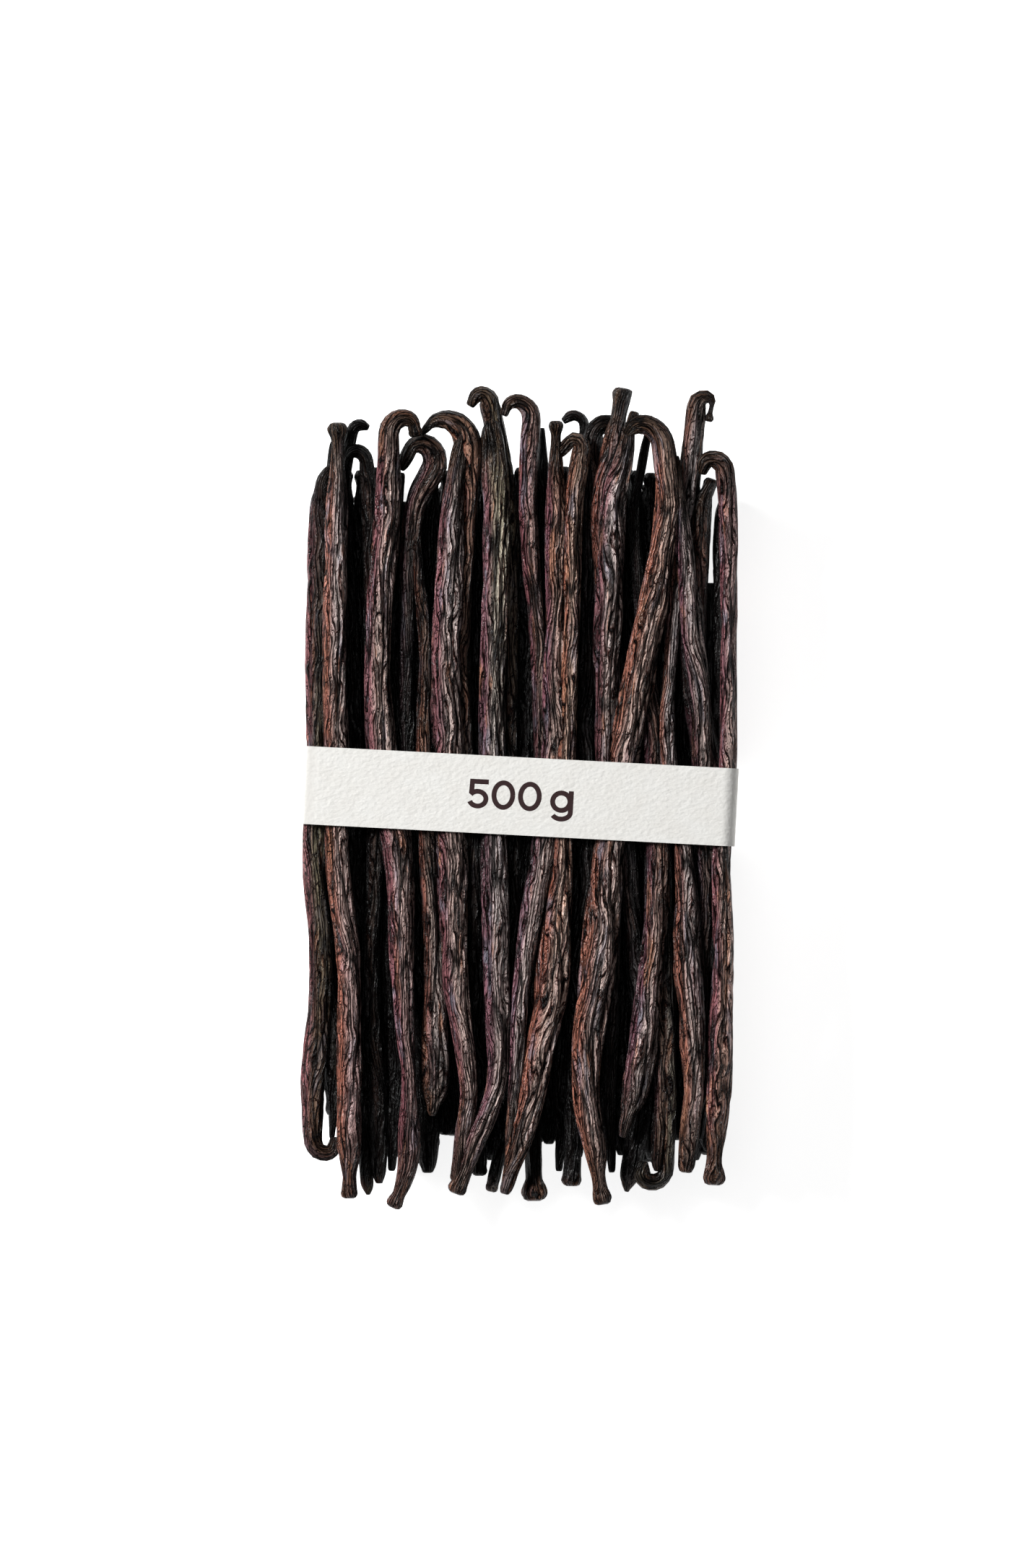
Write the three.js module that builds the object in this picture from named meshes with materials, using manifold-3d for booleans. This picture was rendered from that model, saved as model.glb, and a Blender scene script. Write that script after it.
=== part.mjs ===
// A bundle of cured vanilla pods held by one paper band.
// The bundle lies on its back: +Z up, the pods along Y with their stalk ends at +Y, X across.
// The origin is on the floor under the middle of the bundle. Millimetres throughout.
// "pods" is the heap in one solid: a plain core, with every pod that shows fused on.
// "band" is the closed loop of paper round the waist.

import * as THREE from "three";
import { mergeVertices } from "three/addons/utils/BufferGeometryUtils.js";
import Module from "manifold-3d";

const wasm = await Module();
wasm.setup();

// ---- driving dimensions ---------------------------------------------------

const BUNDLE_DEPTH = 35; // floor to the ridge of the highest pods
const PINCH = 1.9; // how far the band presses the bundle in, above and below
const SIDE_PINCH = 0.8; // and at the two sides
const PINCH_REACH = 26; // distance along a pod from the waist to where the pinch has gone
const POD_FLATNESS = 0.86; // height of a cured pod for its width
const EDGE_FLATNESS = 1.3; // the pods of the two sides stand on edge, pressed by the paper
const HIDDEN_FLANK = 0.25; // extra width of a pod for each mm that it lies below the top layer
const FLANK_LIMIT = 4; // depth in mm at which that extra width stops growing

const BAND_LENGTH = 97.5; // across the bundle, outside
const BAND_WIDTH = 17.5;
const BAND_PAPER = 0.5;
const BAND_TILT = -3; // degrees about Z
const BAND_CORNER = 3.2; // outer radius where the paper turns down the sides
const BAND_FLOOR_GAP = 0.9; // the pinched waist holds the paper clear of the floor
const BAND_TOP = 34.1;
const FLAP_LENGTH = 26; // the glued overlap on the underside
const FLAP_PAPER = 0.45;

// ---- the pods of the top face ----------------------------------------------
// x: places across the bundle at the six stations below; wide: widths at five of them
// (the two beside the band share one); deep: how far the ridge lies below the bundle's top,
// at the stalk end and at the blossom end.

const STATIONS = [65.6, 32.7, 9.7, -12.3, -38.4, -66.3];

// An end that runs straight out and finishes at x, y, in a knob if the tip is the wider.
const knob = (x, y, shoulder, neck, tip) => hook(x, y, 0, 0, shoulder, neck, tip);
// An end that starts to curl at x, y and turns by that many degrees, to +X when positive.
// After the curl it may run on straight for a while.
function hook(x, y, turn, radius, shoulder, neck, tip, run = 0) {
  return { x, y, turn, radius, shoulder, neck, tip, run };
}

const FACE_PODS = [
  { name: "rail_west", deep: [4.2, 3.4], x: [-44.8, -45.5, -45.4, -46.2, -44.8, -46.6], wide: [3.7, 4.2, 4.2, 4.4, 4.2],
    top: hook(-44.7, 68.6, 84, 4.9, 3.1, 2.5, 1.9), foot: hook(-46.6, -77.2, 180, 2.4, 3.9, 2.9, 2.2) },
  { name: "west_knob", deep: [0.8, 0.8], x: [-41.1, -41.7, -41.2, -41.1, -38.6, -38.3], wide: [4.5, 5.0, 5.0, 5.0, 5.2],
    top: knob(-41.0, 83.9, 3.5, 3.1, 4.5), foot: knob(-38.4, -90.3, 5.1, 3.1, 3.6) },
  { name: "west_sliver", deep: [5.5, 6.0], x: [-40.0, -38.3, -37.5, -37.3, -36.2, -35.1], wide: [2.4, 2.9, 2.8, 2.6, 3.2],
    top: hook(-38.0, 81.6, 105, 1.9, 2.9, 2.7, 1.9), foot: knob(-34.2, -89.7, 3.4, 3.1, 1.2) },
  { name: "amber_under", deep: [4.5, 5.0], x: [-33.8, -33.0, -32.2, -32.6, -33.5, -32.2], wide: [3.2, 3.2, 2.9, 2.3, 3.2],
    top: hook(-34.8, 75.2, -125, 2.1, 3.1, 2.6, 1.8), foot: knob(-31.6, -87.1, 3.6, 3.4, 2.0) },
  { name: "crook_west", deep: [0.6, 0.6], x: [-29.6, -32.2, -30.9, -27.5, -26.5, -25.0], wide: [5.5, 5.3, 6.5, 4.7, 3.2],
    top: hook(-29.5, 81.2, 168, 2.9, 4.4, 2.6, 2.9), foot: hook(-24.9, -76.6, -26, 29.0, 4.6, 2.9, 3.6) },
  { name: "crook_shadow", deep: [5.5, 6.5], x: [-27.9, -28.8, -27.9, -28.4, -28.4, -27.9], wide: [2.3, 2.6, 2.9, 3.2, 3.2],
    top: knob(-26.6, 72.8, 2.4, 2.3, 1.9), foot: knob(-29.0, -84.3, 3.0, 2.0, 1.8) },
  { name: "arch_low", deep: [3.4, 7.0], x: [-23.6, -25.5, -25.5, -23.6, -22.0, -20.8], wide: [3.6, 2.6, 2.6, 3.2, 4.2],
    top: hook(-19.6, 73.2, -180, 3.3, 5.2, 3.3, 2.4, 3.0), foot: knob(-20.9, -84.8, 5.4, 5.0, 3.2) },
  { name: "split_strand", deep: [4.2, 2.0], x: [-23.1, -21.5, -21.8, -21.0, -19.5, -19.2], wide: [1.9, 2.3, 2.9, 3.9, 5.2],
    top: knob(-17.6, 75.6, 1.9, 1.8, 2.4), foot: knob(-19.8, -71.8, 3.6, 3.2, 1.9) },
  { name: "broad_west", deep: [0.7, 0.9], x: [-15.0, -16.6, -16.0, -15.3, -14.7, -11.7], wide: [4.9, 6.5, 6.8, 5.3, 3.7],
    top: knob(-13.1, 81.2, 4.2, 3.8, 3.0), foot: knob(-14.3, -86.4, 3.6, 2.8, 3.0) },
  { name: "arch_high", deep: [2.6, 6.0], x: [-11.4, -13.0, -12.2, -10.6, -9.8, -9.2], wide: [2.9, 2.6, 2.6, 2.6, 2.9],
    top: hook(-11.7, 78.3, -140, 5.3, 5.9, 1.9, 1.2, 1.6), foot: knob(-9.3, -85.4, 3.6, 3.4, 3.5) },
  { name: "olive_mid", deep: [0.4, 0.6], x: [-5.3, -5.9, -6.2, -5.9, -5.4, -5.8], wide: [5.8, 5.5, 5.8, 5.5, 4.2],
    top: knob(-6.6, 84.4, 5.9, 5.1, 3.6), foot: knob(-14.6, -89.2, 4.4, 3.4, 3.9) },
  { name: "tall_knob", deep: [3.2, 6.5], x: [-3.0, -2.0, -2.0, -1.1, -1.1, -1.4], wide: [3.8, 2.3, 2.3, 2.3, 2.3],
    top: hook(-7.0, 88.4, -140, 1.75, 4.2, 3.1, 2.6), foot: knob(-6.6, -89.0, 2.9, 2.9, 3.1) },
  { name: "mid_crook", deep: [1.6, 5.5], x: [1.7, 4.0, 4.6, 4.5, 3.2, 2.8], wide: [3.6, 2.8, 2.9, 3.2, 3.6],
    top: hook(2.5, 84.6, -160, 3.0, 4.5, 2.3, 2.2), foot: knob(3.1, -91.0, 3.6, 3.6, 5.4) },
  { name: "mid_under", deep: [6.5, 6.5], x: [0.2, 1.5, 1.2, 0.2, 0.2, 0.6], wide: [2.3, 2.9, 2.6, 2.1, 1.9],
    top: knob(0.6, 74.0, 2.3, 2.0, 1.9), foot: knob(-0.7, -79.5, 1.9, 1.7, 1.6) },
  { name: "pale_left", deep: [0.8, 1.4], x: [7.9, 7.7, 7.0, 5.1, 0.6, -1.4], wide: [3.9, 4.4, 5.5, 4.0, 2.3],
    top: knob(7.9, 84.3, 3.4, 2.2, 3.3), foot: knob(-2.8, -79.5, 2.1, 1.9, 1.6) },
  { name: "pale_right", deep: [1.0, 0.6], x: [11.9, 11.4, 10.1, 9.3, 7.5, 2.8], wide: [4.2, 4.0, 4.4, 7.1, 5.8],
    top: hook(13.8, 77.6, -146, 1.7, 4.2, 2.9, 1.0, 4.4), foot: knob(-3.6, -89.3, 4.6, 3.5, 2.7) },
  { name: "nub_under", deep: [7.0, 7.5], x: [5.2, 4.9, 5.1, 2.3, -1.4, -4.3], wide: [2.6, 1.9, 2.3, 2.3, 2.6],
    top: knob(5.0, 82.9, 3.0, 1.7, 1.4), foot: knob(-3.8, -82.6, 2.6, 2.4, 2.3) },
  { name: "hooklet", deep: [6.5, 7.5], x: [14.2, 13.4, 12.9, 12.9, 10.4, 9.3], wide: [2.3, 2.1, 2.1, 2.3, 2.6],
    top: hook(14.4, 82.9, -125, 2.2, 2.2, 2.5, 2.2), foot: knob(8.7, -84.4, 2.4, 2.0, 1.8) },
  { name: "arch_small", deep: [4.4, 5.5], x: [16.4, 14.8, 14.7, 15.0, 13.2, 12.1], wide: [2.9, 2.4, 2.4, 2.9, 3.2],
    top: hook(16.3, 80.3, 125, 3.0, 4.3, 3.6, 2.8), foot: knob(11.5, -87.7, 3.8, 3.8, 4.3) },
  { name: "spear", deep: [2.4, 5.5], x: [18.4, 20.2, 21.8, 24.1, 25.8, 27.9], wide: [3.9, 3.2, 3.2, 3.2, 3.2],
    top: knob(23.3, 91.7, 4.8, 3.4, 4.3), foot: knob(23.9, -89.0, 4.8, 4.7, 1.3) },
  { name: "leaning_knob", deep: [1.0, 5.0], x: [20.8, 19.7, 19.0, 20.2, 21.1, 20.3], wide: [5.5, 5.5, 3.6, 2.6, 2.3],
    top: knob(25.7, 86.4, 3.9, 2.6, 2.5), foot: knob(20.5, -84.6, 2.2, 1.9, 1.7) },
  { name: "diagonal", deep: [0.0, 0.0], x: [33.1, 27.8, 23.2, 20.2, 17.3, 14.7], wide: [5.3, 7.1, 7.5, 7.3, 5.8],
    top: hook(32.3, 78.4, -135, 4.5, 5.1, 3.4, 2.3), foot: knob(18.7, -91.6, 4.5, 3.3, 4.4) },
  { name: "under_arch", deep: [5.0, 0.9], x: [25.8, 27.9, 30.4, 30.9, 29.6, 25.7], wide: [1.9, 2.9, 5.2, 5.5, 5.5],
    top: knob(28.8, 81.8, 2.0, 1.9, 1.9), foot: knob(22.9, -76.6, 3.8, 3.2, 1.9) },
  { name: "buried_crook", deep: [7.0, 3.6], x: [32.0, 30.4, 31.7, 32.3, 33.1, 33.6], wide: [1.9, 2.3, 2.3, 2.3, 2.4],
    top: knob(31.8, 74.4, 1.9, 1.8, 1.8), foot: hook(33.1, -83.3, -185, 2.8, 3.1, 3.6, 2.8) },
  { name: "ember", deep: [7.0, 3.4], x: [33.9, 32.3, 29.1, 29.9, 31.0, 31.8], wide: [1.9, 2.3, 2.3, 2.3, 2.6],
    top: knob(33.9, 72.4, 1.8, 1.6, 1.6), foot: knob(30.9, -84.3, 3.6, 3.4, 2.4) },
  { name: "east_crook", deep: [3.0, 0.9], x: [37.3, 33.9, 33.1, 36.9, 37.7, 39.1], wide: [4.6, 2.6, 3.6, 5.7, 4.2],
    top: hook(39.7, 87.7, 186, 1.65, 4.1, 1.2, 2.1, 2.2), foot: knob(37.1, -84.5, 4.7, 4.3, 4.0) },
  { name: "east_broad", deep: [0.8, 5.5], x: [36.0, 38.8, 40.9, 41.6, 41.6, 41.1], wide: [2.3, 5.8, 4.9, 2.9, 2.6],
    top: knob(35.2, 76.4, 2.0, 1.6, 1.3), foot: knob(40.1, -77.2, 2.5, 2.3, 1.9) },
  { name: "east_short", deep: [3.4, 4.5], x: [41.0, 40.1, 42.8, 45.4, 45.8, 45.5], wide: [3.3, 2.6, 2.3, 2.3, 2.3],
    top: knob(43.1, 71.4, 3.2, 3.0, 3.3), foot: knob(44.9, -78.0, 1.9, 1.6, 1.5) },
  { name: "rail_east", deep: [1.2, 0.8], x: [46.6, 46.7, 46.6, 45.3, 45.6, 44.5], wide: [3.9, 3.2, 3.7, 4.4, 5.3],
    top: hook(46.0, 73.0, -168, 2.45, 4.1, 3.3, 2.4), foot: knob(43.4, -87.3, 4.3, 3.6, 5.0) },
  { name: "rail_under", deep: [5.5, 5.0], x: [44.3, 44.5, 44.3, 43.2, 40.7, 40.4], wide: [1.6, 2.3, 2.3, 2.9, 3.2],
    top: knob(44.3, 49.0, 1.9, 1.9, 1.6), foot: knob(39.1, -78.0, 2.7, 2.3, 1.9) },
  { name: "loop_inner", deep: [6.5, 5.0], x: [-43.3, -44.0, -44.0, -43.0, -43.0, -41.6], wide: [1.6, 1.9, 2.3, 2.1, 2.2],
    top: knob(-42.2, 79.8, 1.9, 1.5, 1.1), foot: knob(-42.3, -77.2, 2.1, 1.4, 1.0) },
];

// ---- the rows beneath ------------------------------------------------------

const ROW_HEIGHTS = [3, 9, 15.2, 21.4]; // axis of each row, from the floor up
const COLUMNS = 14;
const COLUMN_EDGE = 46.1; // the outermost columns
const ROW_POD_WIDTH = [5.6, 7.0]; // narrowest and widest
const EDGE_POD_WIDTH = 4.2;
const ROW_WANDER = 1.5; // how far a pod strays sideways
const ROW_TOPS = [69, 75]; // where the stalk ends stop, shortest and longest
const ROW_FEET = [-83.5, -77.5];
const EDGE_TOPS = [64, 69.5]; // the pods of the two sides stop short of that
const EDGE_FEET = [-76, -78];
const EDGE_INSET = 0.3; // and lie this far inside the pods of the top face
const STUB_START = 60; // inside the core, only a pod's ends from here outwards are built
const ROW_SEED = 4021;
const BEARERS = [2, 11]; // columns of the two bottom pods that carry the bundle
const BEARING_Y = 57.5; // where they touch the floor, on both sides of the waist
const FLOOR_CLEAR = 2.2; // everywhere else the bottom row clears it
// Slits that stay open right through the bundle: x from, x to, and the y where they begin.
const SLITS = [
  [-38.3, -37.3, 70], [-26.0, -22.8, 68.5], [28.9, 30.3, 72.5], [42.4, 43.9, 50],
  [-44.6, -42.4, -74], [-17.6, -16.2, -78.5], [4.9, 6.2, -80.5], [34.6, 35.4, -79.5],
];

const CORE = { x: [-42, 42], y: [-68, 62], z: [4.5, 26] };
const WAIST = { x: [-44.5, 44.5], y: [-11, 11], z: [3.5, 29.5] };

// ---- how finely the tubes are drawn ------------------------------------------

const FACE_SIDES = 6;
const DEEP_SIDES = 5;
const STUB_SIDES = 5;
const DEEP_LIMIT = 2; // a pod below this depth all along shows little, and gets fewer sides
const RUN_STEP = 24; // mm between rings on the long run of a pod
const CURL_STEP = 42; // degrees between rings round a curl
const CURL_OPEN = 1.45; // how much wider than its mean radius a curl starts
const CURL_TIGHTEN = 0.9; // and how much of that radius it loses on the way round
const CURL_HOLD = 1.4; // how long a curl keeps the width of its shoulder
const SHOULDER_REACH = 11; // from the tip back to where a straight end starts to narrow
const WELD = 1e-3; // mm within which two vertices are one
const SMOOTHING = 0.03; // mm by which slivers left by the fusing may be flattened away

// ---- helpers -----------------------------------------------------------------

const degrees = Math.PI / 180;
const mix = (a, b, t) => a + (b - a) * t;
const clamp = (v, low, high) => Math.min(high, Math.max(low, v));

let drawState = ROW_SEED;
function draw(low, high) {
  drawState = (drawState * 16807) % 2147483647;
  return mix(low, high, drawState / 2147483647);
}

// How much of the band's pinch is felt at y: 1 under the band, 0 beyond its reach.
function pinchAt(y) {
  const t = clamp((Math.abs(y) - 0.75 * BAND_WIDTH) / (PINCH_REACH - 0.75 * BAND_WIDTH), 0, 1);
  return 1 - t * t * (3 - 2 * t);
}

function depthAt(deep, y) {
  const t = clamp((STATIONS[0] - y) / (STATIONS[0] - STATIONS[5]), 0, 1);
  return mix(deep[0], deep[1], t);
}

// A control point of a pod: its place, with its width in w.
const point = (x, y, z, w) => new THREE.Vector4(x, y, z, w);

// The points of one end, from where it leaves the last station out to its tip.
// side is +1 at the stalk end and -1 at the blossom end; height(y, w) gives the axis height.
// A curl tightens as it goes, as a drying stalk does.
function endPoints(end, side, from, height) {
  const { x, y, turn, radius, shoulder, neck, tip, run } = end;
  const level = height(y, neck);
  const points = [];
  const at = new THREE.Vector2(x, y);
  const heading = new THREE.Vector2(x - from.x, y - from.y).normalize();
  if (turn !== 0) {
    const steps = Math.max(2, Math.round(Math.abs(turn) / CURL_STEP));
    const bend = (turn * degrees) / steps;
    const start = Math.atan2(heading.x, side * heading.y);
    const way = (angle) => new THREE.Vector2(Math.sin(angle), side * Math.cos(angle));
    points.push(point(x, y, level, shoulder));
    for (let i = 0; i < steps; i++) {
      const tightening = CURL_OPEN - (CURL_TIGHTEN * (i + 0.5)) / steps;
      at.addScaledVector(way(start + bend * (i + 0.5)), Math.abs(bend) * radius * tightening);
      const share = ((i + 1) / steps) ** CURL_HOLD;
      points.push(point(at.x, at.y, level, mix(shoulder, neck, share)));
    }
    heading.copy(way(start + turn * degrees));
    at.addScaledVector(heading, 0.9 * tip + run);
  }
  const place = (back, w) => point(at.x - heading.x * back, at.y - heading.y * back, level, w);
  if (turn === 0) {
    const reach = Math.abs(y - from.y);
    const narrow = 1.5 * Math.max(neck, tip);
    if (reach > SHOULDER_REACH + 3) points.push(place(SHOULDER_REACH, shoulder));
    if (reach > narrow + 1.5) points.push(place(narrow, neck));
  }
  if (turn === 0 || run === 0) points.push(place(0.45 * tip, tip > neck ? tip : mix(neck, tip, 0.6)));
  points.push(place(0.07 * tip, 0.8 * tip));
  return points;
}

// Rings along the run between control points, on a smooth curve through them.
function smoothRun(points) {
  const places = new THREE.CatmullRomCurve3(points.map((p) => new THREE.Vector3(p.x, p.y, p.z)));
  const spans = points.length - 1;
  const out = [];
  for (let i = 0; i < spans; i++) {
    const gap = Math.hypot(points[i + 1].x - points[i].x, points[i + 1].y - points[i].y);
    const steps = Math.max(1, Math.round(gap / RUN_STEP));
    for (let j = 0; j < steps; j++) {
      const t = (i + j / steps) / spans;
      const p = places.getPoint(t);
      out.push(point(p.x, p.y, p.z, mix(points[i].w, points[i + 1].w, j / steps)));
    }
  }
  out.push(points[spans]);
  return out;
}

// A closed tube through rings of (x, y, z, width), with blunt ends.
function tube(rings, sides, flatness = POD_FLATNESS) {
  const vertices = [];
  const faces = [];
  const up = new THREE.Vector3(0, 0, 1);
  const place = (ring) => new THREE.Vector3(ring.x, ring.y, ring.z);
  rings.forEach((ring, i) => {
    const before = place(rings[Math.max(0, i - 1)]);
    const after = place(rings[Math.min(rings.length - 1, i + 1)]);
    const along = after.sub(before).normalize();
    const across = new THREE.Vector3().crossVectors(along, up).normalize();
    const over = new THREE.Vector3().crossVectors(across, along);
    for (let k = 0; k < sides; k++) {
      const angle = (2 * Math.PI * k) / sides + Math.PI / 2;
      const v = place(ring)
        .addScaledVector(across, 0.5 * ring.w * Math.cos(angle))
        .addScaledVector(over, 0.5 * flatness * ring.w * Math.sin(angle));
      vertices.push(v.x, v.y, v.z);
    }
  });
  for (let i = 0; i + 1 < rings.length; i++) {
    for (let k = 0; k < sides; k++) {
      const a = i * sides + k;
      const b = i * sides + ((k + 1) % sides);
      faces.push(a, a + sides, b, b, a + sides, b + sides);
    }
  }
  const last = (rings.length - 1) * sides;
  for (let k = 1; k + 1 < sides; k++) {
    faces.push(0, k, k + 1, last, last + k + 1, last + k);
  }
  return { vertices, faces };
}

function solid({ vertices, faces }) {
  return new wasm.Manifold(new wasm.Mesh({
    numProp: 3,
    vertProperties: new Float32Array(vertices),
    triVerts: new Uint32Array(faces),
  }));
}

function solidOf(geometry) {
  const bare = geometry.clone();
  bare.deleteAttribute("normal");
  bare.deleteAttribute("uv");
  const welded = mergeVertices(bare, WELD);
  return solid({ vertices: welded.attributes.position.array, faces: welded.index.array });
}

function geometryOf(shape) {
  const mesh = shape.getMesh();
  const geometry = new THREE.BufferGeometry();
  geometry.setAttribute("position", new THREE.Float32BufferAttribute(mesh.vertProperties, 3));
  geometry.setIndex(Array.from(mesh.triVerts));
  return geometry.toNonIndexed();
}

function block({ x, y, z }) {
  const box = new THREE.BoxGeometry(x[1] - x[0], y[1] - y[0], z[1] - z[0]);
  return box.translate((x[0] + x[1]) / 2, (y[0] + y[1]) / 2, (z[0] + z[1]) / 2);
}

// ---- pods --------------------------------------------------------------------

function facePod(pod) {
  const extra = HIDDEN_FLANK * Math.min(FLANK_LIMIT, Math.min(...pod.deep));
  const height = (y, w) =>
    BUNDLE_DEPTH - Math.max(depthAt(pod.deep, y), PINCH * pinchAt(y)) - 0.5 * POD_FLATNESS * w;
  const stations = STATIONS.map((y, i) => {
    const w = pod.wide[i < 3 ? i : i - 1] + extra;
    return point(pod.x[i], y, height(y, w), w);
  });
  const run = stations.filter(({ y }) => pod.foot.y + 2 < y && y < pod.top.y - 2);
  const start = endPoints(pod.top, 1, run[0], height).reverse();
  const finish = endPoints(pod.foot, -1, run[run.length - 1], height);
  const rings = smoothRun([...start, ...run, ...finish]);
  const shallow = Math.min(...pod.deep) < DEEP_LIMIT;
  return solid(tube(rings, shallow ? FACE_SIDES : DEEP_SIDES));
}

// Cuts an end short where it would close a slit.
function clearOfSlits(x, half, y) {
  const blocks = ([from, to, begin]) =>
    x + half > from && x - half < to && Math.sign(begin) === Math.sign(y);
  return SLITS.filter(blocks).reduce(
    (end, [, , begin]) => (y > 0 ? Math.min(end, begin - 2) : Math.max(end, begin + 2)), y);
}

// The middle of a pod at the side of the heap, hidden just inside the rail above it.
function edgeX(side, y, w) {
  const rail = FACE_PODS.find((pod) => pod.name === (side < 0 ? "rail_west" : "rail_east"));
  const outer = rail.x.map((x, i) => x + (side * rail.wide[i < 3 ? i : i - 1]) / 2);
  const drift = side > 0 ? rail.foot.x - rail.x[5] : 0;
  const places = [...STATIONS, -88];
  outer.push(outer[5] + drift);
  const i = clamp(places.findIndex((place) => place < y), 1, places.length - 1);
  const t = clamp((places[i - 1] - y) / (places[i - 1] - places[i]), 0, 1);
  return mix(outer[i - 1], outer[i], t) - side * (EDGE_INSET + w / 2);
}

function rowPods() {
  const solids = [];
  ROW_HEIGHTS.forEach((z, row) => {
    for (let column = 0; column < COLUMNS; column++) {
      const shift = row % 2 === 0 ? 0 : 0.5;
      const edge = column === 0 || column === COLUMNS - 1;
      const inner = clamp((column + shift) / (COLUMNS - 1), 0, 1);
      const home = mix(-COLUMN_EDGE, COLUMN_EDGE, edge ? column / (COLUMNS - 1) : inner);
      const w = edge ? EDGE_POD_WIDTH : draw(...ROW_POD_WIDTH);
      const stray = edge ? 0 : draw(-ROW_WANDER, ROW_WANDER);
      const lift = row === 0 ? 0 : draw(-0.4, 0.4);
      const side = column === 0 ? -1 : 1;
      const ends = [draw(...ROW_TOPS), draw(...ROW_FEET)];
      let top = clearOfSlits(home + stray, w / 2, ends[0]);
      let foot = clearOfSlits(home - stray, w / 2, ends[1]);
      if (edge) top = Math.min(top, EDGE_TOPS[column ? 1 : 0]);
      if (edge) foot = Math.max(foot, EDGE_FEET[column ? 1 : 0]);
      const full = row === 0 || edge;
      const flatness = edge ? EDGE_FLATNESS : POD_FLATNESS;
      const bearer = row === 0 && BEARERS.includes(column);
      const sides = bearer ? FACE_SIDES : DEEP_SIDES; // six sides put one corner straight down
      const resting = 0.5 * flatness * w * (bearer ? 1 : Math.cos(Math.PI / DEEP_SIDES));
      const clear = (y) => (bearer && Math.abs(Math.abs(y) - BEARING_Y) < 1 ? 0 : FLOOR_CLEAR);
      const axis = (y) => (row === 0 ? resting + clear(y) : z + lift);
      const across = (y) =>
        edge ? edgeX(side, y, w) - side * SIDE_PINCH * pinchAt(y) : home + (stray * y) / STATIONS[0];
      const at = (y, width) => point(across(y), y, axis(y), width);
      const tail = (y, side) => [at(y - 3 * side, 0.9 * w), at(y, 0.5 * w)];
      const bearing = bearer ? [BEARING_Y] : edge ? [40] : [];
      const middle = [...bearing, 26, 11, -11, -26, ...bearing.map((y) => -y)].map((y) => at(y, w));
      if (full) {
        const run = middle.filter((p) => p.y < top - 6);
        const rings = [...tail(top, 1).reverse(), ...run, ...tail(foot, -1)];
        solids.push(solid(tube(rings, sides, flatness)));
      } else {
        const stalk = Math.min(STUB_START, top - 8);
        solids.push(solid(tube([at(top, 0.7 * w), at(stalk, w)], STUB_SIDES)));
        solids.push(solid(tube([at(-STUB_START - 4, w), at(foot, 0.7 * w)], STUB_SIDES)));
      }
    }
  });
  return solids;
}

// Keeps the outer surface alone: hollows sealed by the fusing and loose scraps go. Welding
// can seal another, so it is done again until one closed surface is left.
function outerShell(shape) {
  const shells = shape.decompose().sort((a, b) => b.volume() - a.volume());
  const welded = solidOf(geometryOf(shells[0]));
  return welded.decompose().length === 1 ? welded : outerShell(welded);
}

// The four corners that carry the bundle lie in one plane exactly, so that it can't rock.
function settle(vertex) {
  if (Math.abs(vertex[2]) < WELD) vertex[2] = 0;
}

function buildPods() {
  const core = solidOf(block(CORE)).add(solidOf(block(WAIST)));
  const parts = [...FACE_PODS.map(facePod), ...rowPods()];
  const whole = parts.reduce((sum, part) => sum.add(part), core);
  return geometryOf(outerShell(whole).simplify(SMOOTHING).warp(settle));
}

// ---- band --------------------------------------------------------------------

function roundedLoop(path, halfLength, low, high, radius) {
  path.moveTo(-halfLength + radius, low);
  path.lineTo(halfLength - radius, low);
  path.absarc(halfLength - radius, low + radius, radius, -Math.PI / 2, 0, false);
  path.lineTo(halfLength, high - radius);
  path.absarc(halfLength - radius, high - radius, radius, 0, Math.PI / 2, false);
  path.lineTo(-halfLength + radius, high);
  path.absarc(-halfLength + radius, high - radius, radius, Math.PI / 2, Math.PI, false);
  path.lineTo(-halfLength, low + radius);
  path.absarc(-halfLength + radius, low + radius, radius, Math.PI, 1.5 * Math.PI, false);
  return path;
}

function buildBand() {
  const half = BAND_LENGTH / 2;
  const outline = roundedLoop(new THREE.Shape(), half, BAND_FLOOR_GAP, BAND_TOP, BAND_CORNER);
  const inner = [half - BAND_PAPER, BAND_FLOOR_GAP + BAND_PAPER, BAND_TOP - BAND_PAPER];
  outline.holes.push(roundedLoop(new THREE.Path(), ...inner, BAND_CORNER - BAND_PAPER));
  const loop = new THREE.ExtrudeGeometry(outline, {
    depth: BAND_WIDTH, bevelEnabled: false, curveSegments: 6,
  });
  loop.translate(0, 0, -BAND_WIDTH / 2).rotateX(Math.PI / 2);
  const flap = block({
    x: [-FLAP_LENGTH / 2, FLAP_LENGTH / 2],
    y: [-BAND_WIDTH / 2, BAND_WIDTH / 2],
    z: [BAND_FLOOR_GAP - FLAP_PAPER, BAND_FLOOR_GAP + BAND_PAPER / 2],
  });
  return geometryOf(solidOf(loop).add(solidOf(flap))).rotateZ(BAND_TILT * degrees);
}

// ---- assembly ----------------------------------------------------------------

const bundle = new THREE.Group();

function addNode(name, geometry, color, roughness) {
  const material = new THREE.MeshStandardMaterial({ color, roughness, metalness: 0 });
  const mesh = new THREE.Mesh(geometry, material);
  mesh.name = name;
  bundle.add(mesh);
}

addNode("pods", buildPods(), 0x2a1714, 0.45);
addNode("band", buildBand(), 0xf3f2ef, 0.9);

export default bundle;
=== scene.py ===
"""The looks of a bundle of cured vanilla pods held round the waist by one paper band.

The pods lie along Y with their stalk ends at +Y, X runs across and Z is up. Sizes are in
millimetres, and turn to metres only where a mesh is made. The pods of the shown face follow
a table of places read by eye, which a small program turned to millimetres at one scale; the
rows beneath them follow a seeded rule. Both are the same as in the solids that these pieces
replace, but for the stalk end of rail_under and one of the slits.
"""

import math

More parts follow.
